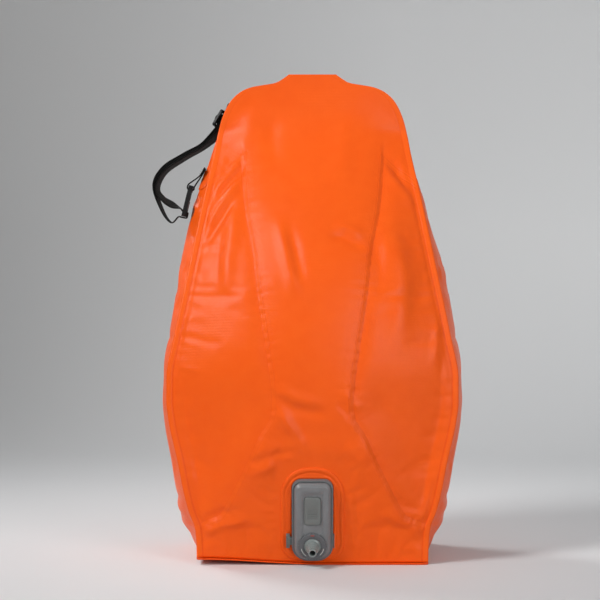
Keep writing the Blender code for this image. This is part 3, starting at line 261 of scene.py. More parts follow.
def add_lamp(name, place, aim, size, power, spread=180):
    data = bpy.data.lights.new(name, "AREA")
    data.shape = "DISK"
    data.size = size
    data.energy = power
    data.spread = math.radians(spread)
    lamp = new_object(name, data)
    lamp.location = place
    lamp.rotation_euler = (Vector(aim) - Vector(place)).to_track_quat("-Z", "Y").to_euler()


sweep = build_sweep()
sweep.data.materials.append(sweep_paint())
add_lamp("key_lamp", (-1.7, -1.35, 2.05), (0.05, 0.0, 0.50), 1.0, 4.8, 48)
add_lamp("fill_lamp", (1.5, -2.4, 0.95), (0.0, 0.0, 0.22), 1.4, 30.0)
add_lamp("back_lamp", (-1.35, 1.2, 1.45), (0.0, 0.05, 0.3), 0.9, 3.2, 60)
world = bpy.data.worlds.new("studio_world")
world.use_nodes = True
world.node_tree.nodes["Background"].inputs["Color"].default_value = (0.94, 0.97, 1.0, 1.0)
world.node_tree.nodes["Background"].inputs["Strength"].default_value = 0.35
scene.world = world
scene.view_settings.view_transform = "Standard"
print("stage", sweep.name)

# %% [markdown]
# ## The bag's shape in numbers
# A bag of welded sheets is drawn most easily from the front: at each height it has a half width,
# an opening between front and back, and a swell where the water pushes. The tables hold those as
# shares of a size. They repeat the CAD model's own, so the cloth lies exactly on its solids.

# %% Sizes and share tables of the bag
bag_height, bag_half_width = 0.545, 0.1610
fabric, skin_gap, lip_width, flange_y = 0.0012, 0.0003, 0.0065, 0.020
front_opening, back_opening = 0.1015, 0.0615
front_bulge_depth, back_bulge_depth, side_bulge_depth = 0.036, 0.020, 0.027
crown_power_share = 2.2
outlet_height, outlet_reach, outlet_lean = 0.0530, 0.0912, math.radians(12.5)
filler_height, filler_reach, filler_lean = 0.3000, 0.0900, math.radians(11.0)
flat_half_width, flat_half_height, flat_blend, filler_flat_radius = 0.046, 0.068, 0.030, 0.0545
leaf_outer_low_share, leaf_outer_high_share = 0.074, 0.765
webbing_width, webbing_thickness = 0.020, 0.0014
base_thickness, base_half_width, base_half_depth = 0.002, 0.1285, 0.0815
lip_width_shares = (
    (0.0, 0.796), (0.04, 0.798), (0.075, 0.809), (0.107, 0.848), (0.15, 0.885), (0.208, 0.922),
    (0.29, 0.983), (0.333, 1.0), (0.38, 0.9995), (0.46, 0.951), (0.6, 0.855), (0.74, 0.76),
    (0.835, 0.6925), (0.861, 0.678), (0.882, 0.6635), (0.903, 0.645), (0.924, 0.618),
    (0.945, 0.577), (0.958, 0.534), (0.967, 0.488), (0.974, 0.425), (0.978, 0.348),
    (0.9825, 0.261), (0.988, 0.224), (1.0, 0.166),
)
front_open_shares = (
    (0.0, 0.951), (0.075, 0.97), (0.185, 1.0), (0.37, 0.97), (0.55, 0.8), (0.735, 0.43),
    (0.79, 0.27), (0.835, 0.12), (0.864, 0.035), (0.886, 0.0), (1.0, 0.0),
)
back_open_shares = (
    (0.0, 0.93), (0.075, 0.96), (0.185, 1.0), (0.37, 0.985), (0.55, 0.8), (0.735, 0.42),
    (0.79, 0.26), (0.835, 0.12), (0.864, 0.05), (0.886, 0.0), (1.0, 0.0),
)
front_bulge_shares = (
    (0.0, 0.05), (0.075, 0.22), (0.185, 0.5), (0.37, 0.9), (0.52, 1.0), (0.735, 0.75),
    (0.835, 0.4), (0.886, 0.17), (0.94, 0.03), (1.0, 0.0),
)
back_bulge_shares = (
    (0.0, 0.05), (0.075, 0.3), (0.185, 0.7), (0.37, 1.0), (0.55, 1.0), (0.735, 0.8),
    (0.835, 0.45), (0.886, 0.15), (0.94, 0.03), (1.0, 0.0),
)
side_bulge_shares = (
    (0.0, 0.0), (0.026, 0.22), (0.055, 0.5), (0.078, 0.7), (0.095, 0.7), (0.127, 0.58),
    (0.208, 0.48), (0.29, 0.36), (0.37, 0.28), (0.46, 0.36), (0.6, 0.45), (0.72, 0.42),
    (0.835, 0.15), (0.864, 0.06),
)
leaf_seam_shares = (
    (0.098, 0.628), (0.13, 0.565), (0.205, 0.44), (0.27, 0.34), (0.298, 0.278), (0.33, 0.261),
    (0.45, 0.309), (0.55, 0.362), (0.64, 0.398), (0.73, 0.459), (0.83, 0.491),
)


def read_shares(shares, places):
    """A smooth curve through given points, with no overshoot, for many places at once."""
    where = np.array([share[0] for share in shares])
    what = np.array([share[1] for share in shares])
    places = np.clip(np.asarray(places, float), where[0], where[-1])
    run = np.diff(where)
    rise = np.diff(what) / run
    same_way = rise[:-1] * rise[1:] > 0
    total = np.where(same_way, rise[:-1] + rise[1:], 1.0)
    slope = np.concatenate([rise[:1], np.where(same_way, 2 * rise[:-1] * rise[1:] / total, 0.0),
                            rise[-1:]])
    index = np.clip(np.searchsorted(where, places, side="right") - 1, 0, len(run) - 1)
    t = (places - where[index]) / run[index]
    step = run[index]
    return ((2 * t**3 - 3 * t**2 + 1) * what[index] + (t**3 - 2 * t**2 + t) * step * slope[index]
            + (3 * t**2 - 2 * t**3) * what[index + 1] + (t**3 - t**2) * step * slope[index + 1])


def smooth_step(share):
    share = np.clip(share, 0.0, 1.0)
    return share * share * (3 - 2 * share)


def rising(value, start, span):
    """Zero up to start, one from start + span on; with a span below zero it falls."""
    return smooth_step((value - start) / span)


def hump(value, middle, half):
    """One at the middle, fading away on both sides."""
    return np.exp(-((value - middle) / half)**2)


def lip_half_width(z):
    return bag_half_width * read_shares(lip_width_shares, z / bag_height)


def crown(x, z):
    inner = np.maximum(lip_half_width(z) - lip_width, lip_width)
    return 1 - np.minimum(np.abs(x) / inner, 1.0)**crown_power_share


def front_y(x, z):
    closed = flange_y - fabric - skin_gap / 2
    soft = (closed - front_opening * read_shares(front_open_shares, z / bag_height)
            - front_bulge_depth * read_shares(front_bulge_shares, z / bag_height) * crown(x, z))
    flat = -outlet_reach - math.tan(outlet_lean) * (z - outlet_height)
    past = np.hypot(np.maximum(np.abs(x) - flat_half_width, 0.0),
                    np.maximum(np.abs(z - outlet_height) - flat_half_height, 0.0))
    return flat + (soft - flat) * smooth_step(past / flat_blend)


def back_y(x, z):
    closed = flange_y + fabric + skin_gap / 2
    soft = (closed + back_opening * read_shares(back_open_shares, z / bag_height)
            + back_bulge_depth * read_shares(back_bulge_shares, z / bag_height) * crown(x, z))
    flat = filler_reach - math.tan(filler_lean) * (z - filler_height)
    past = np.hypot(x, z - filler_height) - filler_flat_radius
    return flat + (soft - flat) * smooth_step(past / flat_blend)


def wall_depth(surface, x, z):
    across = (surface(x + fabric, z) - surface(x - fabric, z)) / (2 * fabric)
    along = (surface(x, z + fabric) - surface(x, z - fabric)) / (2 * fabric)
    return fabric * np.sqrt(1 + across**2 + along**2)


def side_section(z, columns):
    """The right gusset's section at a height: front lip, bulging wall, back lip."""
    edge = float(lip_half_width(z))
    front = float(front_y(edge, z) + wall_depth(front_y, edge, z) * 2) + skin_gap
    back = float(back_y(edge, z) - wall_depth(back_y, edge, z) * 2) - skin_gap
    swell = lip_width + side_bulge_depth * float(read_shares(side_bulge_shares, z / bag_height))
    share = np.linspace(-1.0, 1.0, columns + 1)
    y = (front + back) / 2 + (back - front) / 2 * share
    x = edge - lip_width + swell * (1 - share * share)
    return np.concatenate([[(edge, front)], np.column_stack([x, y]), [(edge, back)]])


print("widest", round(float(lip_half_width(0.333 * bag_height)) * 2000, 1), "mm")

# %% [markdown]
# ## Grids of cloth
# Each panel is a grid of points, row by row up the bag. A grid can be simulated as cloth, made
# finer with a smooth curve through its points, pushed into folds along its normals, and given UV
# coordinates in metres, so that a weave keeps its scale wherever the cloth curves.

# %% Helpers for grids
def grid_normals(grid):
    across = np.gradient(grid, axis=1)
    up = np.gradient(grid, axis=0)
    normal = np.cross(across, up)
    return normal / np.maximum(np.linalg.norm(normal, axis=2, keepdims=True), 1e-12)


def finer(grid):
    """Twice the rows and columns, with new points on a smooth curve through the old ones."""
    for axis in (0, 1):
        points = np.moveaxis(grid, axis, 0)
        padded = np.concatenate([2 * points[:1] - points[1:2], points,
                                 2 * points[-1:] - points[-2:-1]])
        between = (9 * (padded[1:-2] + padded[2:-1]) - padded[:-3] - padded[3:]) / 16
        made = np.empty((2 * len(points) - 1,) + points.shape[1:])
        made[0::2] = points
        made[1::2] = between
        grid = np.moveaxis(made, 0, axis)
    return grid


def arc_places(grid):
    """Each point's place along the cloth in metres: across from the middle, and up."""
    steps_across = np.linalg.norm(np.diff(grid, axis=1), axis=2)
    across = np.concatenate([np.zeros((len(grid), 1)), np.cumsum(steps_across, axis=1)], axis=1)
    across -= across[:, across.shape[1] // 2][:, None]
    middle = grid[:, grid.shape[1] // 2]
    steps_up = np.linalg.norm(np.diff(middle, axis=0), axis=1)
    up = np.concatenate([[0.0], np.cumsum(steps_up)])
    return across, np.broadcast_to(up[:, None], across.shape)


def edit_mesh(mesh, change):
    """Run a change on a mesh as a BMesh and write it back."""
    shape = bmesh.new()
    shape.from_mesh(mesh)
    change(shape)
    shape.to_mesh(mesh)
    shape.free()


def drop_loose(shape):
    loose = [corner for corner in shape.verts if not corner.link_faces]
    bmesh.ops.delete(shape, geom=loose, context="VERTS")


def face_outwards(mesh, outward):
    """Turn a sheet's faces over if together they look the other way."""
    def turn(shape):
        shape.normal_update()
        if sum((face.normal for face in shape.faces), Vector()).dot(Vector(outward)) < 0:
            bmesh.ops.reverse_faces(shape, faces=shape.faces)
    edit_mesh(mesh, turn)


def set_uv(mesh, places):
    """UV coordinates in metres, from one place for each point."""
    layer = mesh.uv_layers.get("cloth") or mesh.uv_layers.new(name="cloth")
    corners = np.empty(len(mesh.loops), np.int32)
    mesh.loops.foreach_get("vertex_index", corners)
    layer.data.foreach_set("uv", np.asarray(places)[corners].astype(np.float32).reshape(-1))


def grid_object(name, grid, look=None, drop=None, marks=None):
    """A mesh from a grid, without the faces that touch a dropped point."""
    rows, columns = grid.shape[:2]
    index = np.arange(rows * columns).reshape(rows, columns)
    quads = np.stack([index[:-1, :-1], index[:-1, 1:], index[1:, 1:], index[1:, :-1]], axis=-1)
    quads = quads.reshape(-1, 4)
    if drop is not None:
        quads = quads[~drop.reshape(-1)[quads].any(axis=1)]
    mesh = bpy.data.meshes.new(name)
    mesh.from_pydata(grid.reshape(-1, 3).tolist(), [], quads.tolist())
    across, up = arc_places(grid)
    print(name, "lies flat in", round(float(np.ptp(across)) * 1000), "by",
          round(float(up.max()) * 1000), "mm")
    set_uv(mesh, np.stack([across.reshape(-1), up.reshape(-1)], axis=1))
    for label, values in (marks or {}).items():
        layer = mesh.attributes.new(label, "FLOAT", "POINT")
        layer.data.foreach_set("value", values.reshape(-1).astype(np.float32))
    edit_mesh(mesh, drop_loose)
    mesh.shade_smooth()
    if look:
        mesh.materials.append(look)
    return new_object(name, mesh)


def thicken(piece, thickness=0.0010):
    wall = piece.modifiers.new("wall", "SOLIDIFY")
    wall.thickness = thickness
    wall.offset = -1.0
    wall.use_rim = True
    return piece


def round_corners(x, y, half_x, half_y, corner):
    """Pull a rectangular grid's corners in until they are round."""
    over_x, over_y = np.abs(x) - (half_x - corner), np.abs(y) - (half_y - corner)
    outside = (over_x > 0) & (over_y > 0)
    far = np.hypot(over_x, over_y)
    pull = np.where(outside & (far > corner), corner / np.maximum(far, 1e-9), 1.0)
    return (np.where(outside, np.sign(x) * (half_x - corner + over_x * pull), x),
            np.where(outside, np.sign(y) * (half_y - corner + over_y * pull), y))


def dress(piece, body, slot, *replaced):
    """Put a piece on its body, in place of solids if it stands for any; the slot is not used."""
    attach(piece, body)
    if replaced:
        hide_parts(*replaced)
    print(piece.name, len(piece.data.polygons), "faces")
    return piece


cloth_grids = {}
print("grid helpers ready")

# %% [markdown]
# ## Let the water swell the cloth
# Filled cloth takes its small buckles from a real cause: it is a little larger than the frame
# that holds its edges, and water pushes it out. So each panel runs through Blender's Cloth with
# its welded edges pinned, slight growth and a gentle pressure. The movement is then limited, so
# that the panel stays on its solid, and the trial piece goes.

# %% Simulate a panel
def swell(name, grid, pinned, pressure=1.2, growth=0.012, limit=0.0035, frames=22):
    """The grid after a short cloth simulation, each point moved by no more than the limit."""
    piece = grid_object(name + "_trial", grid)
    group = piece.vertex_groups.new(name="pinned")
    flat_pins = np.clip(pinned, 0.0, 1.0).reshape(-1)
    for index in np.nonzero(flat_pins > 0.001)[0]:
        group.add([int(index)], float(flat_pins[index]), "REPLACE")
    cloth = piece.modifiers.new("cloth", "CLOTH")
    settings = cloth.settings
    settings.quality = 5
    settings.mass = 0.25
    settings.tension_stiffness = 30.0
    settings.compression_stiffness = 18.0
    settings.shear_stiffness = 8.0
    settings.bending_stiffness = 0.35
    settings.air_damping = 3.0
    settings.effector_weights.gravity = 0.0
    settings.use_pressure = True
    settings.uniform_pressure_force = pressure
    settings.vertex_group_mass = "pinned"
    settings.shrink_min = -growth
    settings.shrink_max = -growth
    for step in range(1, frames + 1):
        scene.frame_set(step)
    solved = piece.evaluated_get(bpy.context.evaluated_depsgraph_get())
    places = np.empty(len(solved.data.vertices) * 3)
    solved.data.vertices.foreach_get("co", places)
    moved = places.reshape(grid.shape) - grid
    scene.frame_set(1)
    bpy.data.objects.remove(piece)
    far = np.linalg.norm(moved, axis=2, keepdims=True)
    held = limit * np.tanh(far / limit) / np.maximum(far, 1e-9)
    print(name, "moved up to", round(float(far.max()) * 1000, 2), "mm")
    return grid + moved * held


# %% [markdown]
# ## Folds drawn one by one
# Simulation gives general unevenness, but the folds that a viewer recognises are drawn: each is a
# line on the front of the panel with a height and a half width, positive for a ridge and negative
# for a valley. A fold fades out towards its ends, and none is allowed near a welded edge.

# %% Helpers for folds and seams
def line_distance(x, z, line):
    """Distance to a line of points, the place along it, and its whole length."""
    best = np.full(x.shape, 1e9)
    place = np.zeros(x.shape)
    run = 0.0
    for start, end in zip(line, line[1:]):
        start, end = np.array(start, float), np.array(end, float)
        along = end - start
        length = float(np.hypot(*along))
        share = ((x - start[0]) * along[0] + (z - start[1]) * along[1]) / length**2
        share = np.clip(share, 0.0, 1.0)
        far = np.hypot(x - start[0] - along[0] * share, z - start[1] - along[1] * share)
        nearer = far < best
        best = np.where(nearer, far, best)
        place = np.where(nearer, run + share * length, place)
        run += length
    return best, place, run


def fold_heights(x, z, folds):
    """All folds together; a fold is its height, half width and line, in millimetres."""
    total = np.zeros(x.shape)
    for height, half, line in folds:
        far, place, run = line_distance(x * 1000, z * 1000, line)
        taper = smooth_step(np.minimum(place, run - place) / max(run * 0.35, 1e-6))
        total += height / 1000 * taper * hump(far, 0.0, half)
    return total


def ripple(x, z, scale, seed):
    """Smooth unevenness from a few sine waves in different directions."""
    draw = np.random.default_rng(seed)
    total = np.zeros(x.shape)
    for octave in range(7):
        turn = draw.uniform(0, math.pi)
        size = scale * draw.uniform(0.5, 1.4)
        phase = draw.uniform(0, 2 * math.pi)
        bend = 0.6 * np.sin((x * math.sin(turn) - z * math.cos(turn)) / size * 1.7 + phase * 2)
        total += np.sin((x * math.cos(turn) + z * math.sin(turn)) / size * 2 * math.pi / 2.5
                        + phase + bend)
    return total / 7


print("fold helpers ready")

# %% [markdown]
# ## Coated fabric
# The bag is a tight woven cloth with a soft plastic film on it. Close up, the film shows the weave
# as a faint even grain with some raised ribs, over it lie small dents from handling, and the
# gloss is a broad satin. Where the gloss pattern is high, the colour is lighter: a painted sheen.
# The weave is one node group for panels, base and patches. The welded bands are drawn from
# attributes that each panel carries: how far each point is from a seam and from the panel's
# edge, and its place along them. The groove beside the lip is also painted darker: painted shade.

# %% Node group: coated weave
def build_weave_group():
    tree, inside, outside = new_group(
        "coated weave",
        [("Place", VECTOR, None), ("Yarn", FLOAT, 0.0008), ("Depth", FLOAT, 0.3),
         ("Mottle", FLOAT, 0.5)],
        [("Height", FLOAT), ("Tone", FLOAT), ("Gloss", FLOAT)])
    plus, _, times, _ = sums(tree)
    place, yarn, depth, mottle = list(inside.outputs)[:4]
    x, y, _ = axes(tree, place)
    small, dents = noise(tree, place, 420.0), noise(tree, place, 70.0, 2.0)
    broad = noise(tree, place, 14.0, 3.0, 0.6)
    cross = times(wave(tree, x, yarn), wave(tree, y, yarn))
    ribs = times(wave(tree, y, 0.0017), ramp(tree, broad, 0.42, 0.62))
    weave = times(plus(cross, ribs), depth)
    feed_all(tree, outside, Tone=broad,
             Height=plus(weave, times(small, 0.5), times(dents, mottle, 5.0)),
             Gloss=plus(times(dents, 0.6), times(small, 0.4)))
    return tree


weave_group = build_weave_group()
print("group", weave_group.name)


# %% Material: orange coated fabric
def coated_fabric(name, dark, plain, light, welds=True, rough=0.35):
    """Orange film over a weave; welds draws the bands from the panel's seam attributes."""
    made, tree, shader = new_material(name)
    plus, _, times, _ = sums(tree)
    place = cloth_place(tree)
    weave = use_group(tree, weave_group, Place=place, Yarn=0.0011, Depth=0.22, Mottle=0.35)
    colour = mix_colour(tree, weave["Tone"], dark, plain)
    # Painted sheen: the colour is pulled towards the lighter orange where the gloss pattern is
    # high.
    colour = mix_colour(tree, times(weave["Gloss"], 0.35), colour, light)
    height = weave["Height"]
    if welds:
        seam, run, edge, edge_run = [attribute(tree, label) for label in (
            "seam_distance", "seam_place", "edge_distance", "edge_place")]
        tape = band(tree, seam, 0.0, 0.0021, 0.0006)
        lines = band(tree, seam, 0.0026, 0.00025, 0.0005)
        near = band(tree, seam, 0.006, 0.002, 0.006)
        lip = band(tree, edge, 0.0, 0.0058, 0.0008)
        low_down = ramp(tree, edge_run, 0.42, 0.22)
        # The groove beside the lip is sunk in the relief and darkened in colour, as painted shade,
        # more so low down.
        groove_with_painted_shade = times(band(tree, edge, 0.0067, 0.0005, 0.0009), plus(times(low_down, 0.7), 0.3))
        pressed = times(wave(tree, run, 0.0022), tape, 0.35)
        lip_pressed = times(wave(tree, edge_run, 0.0018), lip, 0.35)
        pulls = times(noise(tree, place, 260.0, 2.0), near, 4.0)
        for part, amount in ((tape, 0.35), (pressed, 0.35), (pulls, 0.6), (lines, -1.0),
                             (groove_with_painted_shade, -2.6), (lip_pressed, 0.5)):
            height = plus(height, times(part, amount))
        # The groove's dark tint is painted shade in the crease beside the lip.
        for part, amount, tint in ((tape, 0.05, light), (lines, 0.28, dark),
                                   (groove_with_painted_shade, 0.75, dark), (lip, 0.12, light)):
            colour = mix_colour(tree, times(part, amount), colour, tint)
    feed_shader(tree, shader, height, 0.00022, 0.55, Base_Color=colour,
                Roughness=plus(times(weave["Gloss"], 0.14), rough - 0.07),
                Specular_IOR_Level=0.18)
    return made


orange_fabric = coated_fabric("orange_coated_fabric", (0.76, 0.072, 0.003),
                              (0.86, 0.098, 0.004), (0.93, 0.158, 0.012))
patch_fabric = coated_fabric("patch_coated_fabric", (0.75, 0.070, 0.003),
                             (0.85, 0.094, 0.004), (0.92, 0.15, 0.012), False, 0.46)
base_fabric = coated_fabric("base_coated_fabric", (0.70, 0.058, 0.002),
                            (0.80, 0.078, 0.003), (0.90, 0.12, 0.009), False, 0.5)
print("materials", orange_fabric.name, base_fabric.name)

# %% [markdown]
# ## The front of the bag
# The front is three panels welded along two curved seams: an hourglass centre and a leaf on each
# side. They are made as one continuous cloth here, because on the real bag the weld pulls them
# into one skin, and a single grid lets a fold run up to the seam without a gap. The seams come
# back as relief, as puckers and as welded bands in the material.

# %% Lay out the front grid and its seams
def front_heights(step):
    """Heights up the front, closer together round the shoulders."""
    low = base_thickness + skin_gap
    plain = np.arange(low, 0.50, step)
    fine = np.linspace(plain[-1] + step, bag_height, 26)
    return np.concatenate([plain, fine])


def front_grid(surface, heights, columns, sign):
    share = np.linspace(-1.0, 1.0, columns + 1) * sign
    z = np.repeat(heights[:, None], columns + 1, axis=1)
    x = lip_half_width(z) * share[None, :]
    return np.stack([x, surface(x, z), z], axis=2)


leaf_low, leaf_high = leaf_seam_shares[0][0], leaf_seam_shares[-1][0]
seam_steps = np.linspace(leaf_low, leaf_high, 60)
seam_half = bag_half_width * read_shares(leaf_seam_shares, seam_steps)
right_seam = [(float(lip_half_width(leaf_outer_low_share * bag_height)),
               leaf_outer_low_share * bag_height)]
right_seam += list(zip(seam_half.tolist(), (seam_steps * bag_height).tolist()))
seam_table = ([z for x, z in right_seam], [x for x, z in right_seam])
right_seam.append((float(lip_half_width(leaf_outer_high_share * bag_height)),
                   leaf_outer_high_share * bag_height))
left_seam = [(-x, z) for x, z in right_seam]
lip_line = [(float(lip_half_width(h)), float(h)) for h in np.linspace(0.01, 0.52, 40)]


def seam_marks(x, z, lines):
    """For the material: distance to the nearest seam and the place along it."""
    best, place = np.full(x.shape, 1.0), np.zeros(x.shape)
    for line in lines:
        far, along, _ = line_distance(x, z, line)
        place = np.where(far < best, along, place)
        best = np.minimum(best, far)
    return best, place


print("seam points", len(right_seam))

# %% [markdown]
# ## Folds of the front
# The list is read from the top down. Most folds start at a weld and run towards the middle,
# because the weld can't stretch while the cloth between can.

# %% Fold list for the front, in millimetres from the middle of the base
front_folds = (
    (3.2, 5.0, ((-72, 462), (-93, 434), (-122, 402))),
    (-3.6, 4.5, ((-74, 447), (-95, 421), (-120, 393))),
    (3.4, 5.5, ((-76, 434), (-104, 394), (-128, 360))),
    (-3.2, 5.0, ((-82, 412), (-104, 378), (-126, 344))),
    (3.6, 8.0, ((-84, 412), (-92, 350), (-97, 292))),
    (-1.6, 5.0, ((-99, 380), (-104, 330), (-104, 300))),
    (2.2, 5.0, ((-135, 283), (-141, 262), (-146, 242))),
    (0.9, 3.0, ((-153, 250), (-138, 246), (-116, 244))),
    (0.8, 3.0, ((-153, 222), (-138, 218), (-118, 215))),
    (3.0, 7.5, ((-41, 392), (-31, 356), (-21, 312), (-13, 290))),
    (-2.4, 6.5, ((-28, 380), (-19, 346), (-10, 306))),
    (-2.6, 5.5, ((14, 364), (33, 363), (62, 348))),
    (1.8, 5.0, ((20, 374), (38, 373), (60, 362))),
    (4.4, 13.0, ((82, 392), (92, 350), (98, 316), (96, 270), (92, 230))),
    (-2.2, 7.0, ((70, 372), (74, 330), (72, 290))),
    (-2.0, 5.5, ((-50, 194), (-20, 176), (22, 168))),
    (1.8, 6.0, ((-46, 204), (-18, 187), (20, 180))),
    (2.6, 6.0, ((-40, 176), (-20, 150), (-6, 122))),
    (1.8, 5.0, ((-37, 180), (-28, 162), (-16, 140))),
    (-1.8, 4.0, ((24, 186), (38, 172), (44, 158))),
    (1.6, 4.5, ((30, 196), (42, 186), (54, 170))),
    (2.6, 5.5, ((-74, 100), (-44, 113), (-8, 119))),
    (-2.0, 4.5, ((-76, 112), (-46, 124), (-14, 131))),
    (4.2, 6.0, ((-136, 30), (-106, 42), (-62, 54))),
    (-2.6, 5.0, ((-128, 50), (-98, 59), (-76, 66))),
    (1.6, 3.5, ((36, 92), (40, 56), (41, 18))),
    (-1.4, 3.5, ((46, 90), (49, 56), (50, 22))),
    (3.4, 6.0, ((136, 32), (106, 44), (74, 60))),
    (-1.6, 5.0, ((126, 58), (104, 66), (84, 78))),
    (1.8, 4.5, ((144, 292), (136, 250), (133, 214))),
    (-1.6, 4.0, ((152, 270), (146, 232), (143, 200))),
    (-2.0, 5.0, ((118, 404), (100, 428), (86, 452))),
    (1.8, 6.0, ((124, 384), (104, 412), (84, 436))),
    (1.8, 11.0, ((-66, 512), (-74, 480), (-86, 446))),
    (-1.4, 9.0, ((-46, 505), (-46, 470), (-40, 430))),
    (1.4, 12.0, ((38, 505), (36, 460), (28, 415))),
)


def seam_puckers(x, z, lines, seed, reach=0.016, height=0.0009):
    """Short creases that run square to a weld and fade away from it."""
    total = np.zeros(x.shape)
    draw = np.random.default_rng(seed)
    for line in lines:
        far, place, run = line_distance(x, z, line)
        pattern = np.zeros(x.shape)
        for octave in range(4):
            size = draw.uniform(0.007, 0.015)
            pattern += np.sin(place / size * 2 * math.pi + draw.uniform(0, 6.28)
                              + 1.5 * np.sin(place / 0.05 + octave))
        total += pattern / 4 * height * hump(far, 0.004, reach)
    return total


print("folds", len(front_folds))


# %% Build the front
# Half width, half height and middle of the module's still cloth, then the fade round it
pinned_zone, still_zone = (0.036, 0.056, 0.0585, 0.008), (0.037, 0.057, 0.0585)
# Half width, half height, top and bottom corner of the hole for the module
module_hole = (0.0232, 0.0465, 0.0104, 0.0179)
centre_valley, leaf_valley, valley_half = 0.0014, 0.0032, 0.011
centre_swell, swell_half, leaf_facet, facet_span = 0.0022, 0.022, 0.0065, 0.040
weld_step, weld_half = 0.0002, 0.0024
groove_depth, groove_place, groove_half = 0.0014, 0.0088, 0.0020
foot_corner_lift = 0.0054
softened_rows, softening_turns = 218, 150


def quiet_zone(x, z, half_x, half_z, middle_z, fade=0.012):
    """One far from a rectangle round a place, zero on it."""
    past = np.hypot(np.maximum(np.abs(x) - half_x, 0.0),
                    np.maximum(np.abs(z - middle_z) - half_z, 0.0))
    return smooth_step(past / fade)


def in_outline(x, z, half_width, half_height, top_corner, bottom_corner):
    """Inside a rounded outline whose top and bottom corners have their own radii."""
    corner = np.where(z > 0, top_corner, bottom_corner)
    over = np.hypot(np.maximum(np.abs(x) - (half_width - corner), 0.0),
                    np.maximum(np.abs(z) - (half_height - corner), 0.0))
    return over < corner


def lip_free(x, z, fade=0.014):
    """Zero on the welded lip and one well inside it."""
    return smooth_step((lip_half_width(z) - np.abs(x) - lip_width * 0.8) / fade)


def foot_pins(z):
    """One at the foot, where the base holds the cloth, and zero above."""
    return 1 - rising(z, 0.006, 0.010)


def between_ends(z):
    """Zero at the foot and at the top flange, one between."""
    return rising(z, 0.008, 0.018) * rising(z, 0.538, -0.02)


def settle(name, grid, pins, top, **force):
    """A panel swelled below top and left as it was drawn above it, made finer."""
    swollen = swell(name, grid, pins, **force)
    drawn = rising(grid[..., 2], top, 0.09)[..., None]
    return finer(swollen + (grid - swollen) * drawn)


def soften_rows(y, z, amount):
    """Takes the sharp bend out of the cloth where front and back come together."""
    even = np.linspace(z[0, 0], z[-1, 0], softened_rows)
    soft = np.array([np.interp(even, z[:, 0], column) for column in y.T])
    for turn in range(softening_turns):
        soft[:, 1:-1] = (soft[:, :-2] + 2 * soft[:, 1:-1] + soft[:, 2:]) / 4
    soft = np.array([np.interp(z[:, 0], even, column) for column in soft]).T
    near = rising(z, 0.37, 0.05) * rising(z, 0.5435, -0.03)
    return y + (soft - y) * near * amount


def foot_lift(grid):
    """How far the front left corner of the foot curls up off the floor."""
    x, y, z = grid[..., 0], grid[..., 1], grid[..., 2]
    sideways, forwards = rising(x, 0.012, -0.13), rising(y, 0.035, -0.095)
    return foot_corner_lift * sideways * forwards * (1 - rising(z, 0.0, 0.055))


def build_front():
    grid = front_grid(front_y, front_heights(0.005), 64, 1)
    x, z = grid[..., 0], grid[..., 2]
    grid[..., 1] = soften_rows(grid[..., 1], z, lip_free(x, z, 0.045))
    pins = 1 - lip_free(x, z, 0.006) * quiet_zone(x, z, *pinned_zone)
    pins = np.maximum(pins, foot_pins(z))
    pins = np.maximum(pins, rising(z, 0.40, 0.12))
    grid = settle("front", grid, pins, 0.33, pressure=1.6, growth=0.005, limit=0.0030)
    x, z = grid[..., 0], grid[..., 2]
    free = lip_free(x, z) * quiet_zone(x, z, *still_zone)
    free *= between_ends(z)
    seams = [left_seam, right_seam]
    far, place = seam_marks(x, z, seams)
    push = fold_heights(x, z, front_folds)
    push += seam_puckers(x, z, seams, 3, 0.014, 0.0003)
    push += 0.0010 * ripple(x, z, 0.06, 11) + 0.00012 * ripple(x, z, 0.016, 12)
    centre_side = np.abs(x) < np.interp(z, *seam_table)
    low = rising(z, 0.250, -0.10) * rising(z, 0.040, 0.02)
    valley = np.where(centre_side, centre_valley, leaf_valley) * (1 - 0.75 * low)
    push -= valley * hump(far, 0.0, valley_half)
    push += np.where(centre_side, centre_swell, 0.0) * low * hump(far, 0.0, swell_half)
    push -= np.where(centre_side, 0.0, leaf_facet) * low * rising(far, 0.0, facet_span)
    edge = np.clip(lip_half_width(z) - np.abs(x), 0.0, None)
    below_top = rising(z, 0.475, -0.05)
    push += seam_puckers(np.abs(x), z, [lip_line], 5, 0.014, 0.0003) * below_top
    grid = grid + grid_normals(grid) * (push * free)[..., None]
    grid[..., 1] -= weld_step * (1 - rising(far, 0.0, weld_half)) * free
    beside_lip = hump(edge, groove_place, groove_half) * rising(z, 0.47, -0.08)
    grid[..., 1] += groove_depth * beside_lip * rising(z, 0.012, 0.02)
    grid[..., 2] += foot_lift(grid)
    drop = in_outline(x, z - outlet_height, *module_hole)
    marks = {"seam_distance": far, "seam_place": place, "edge_distance": edge, "edge_place": z}
    return thicken(grid_object("front_fabric", grid, orange_fabric, drop, marks))


dress(build_front(), "bag", "orange_fabric", "front_centre_panel", "front_left_panel",
      "front_right_panel")

# %% [markdown]
# ## The back of the bag
# The back is one plain sheet with the filler in its upper half. It is rounder than the front, has
# no leaf seams, and its folds gather round the filler's stiff ring and along the welded sides.

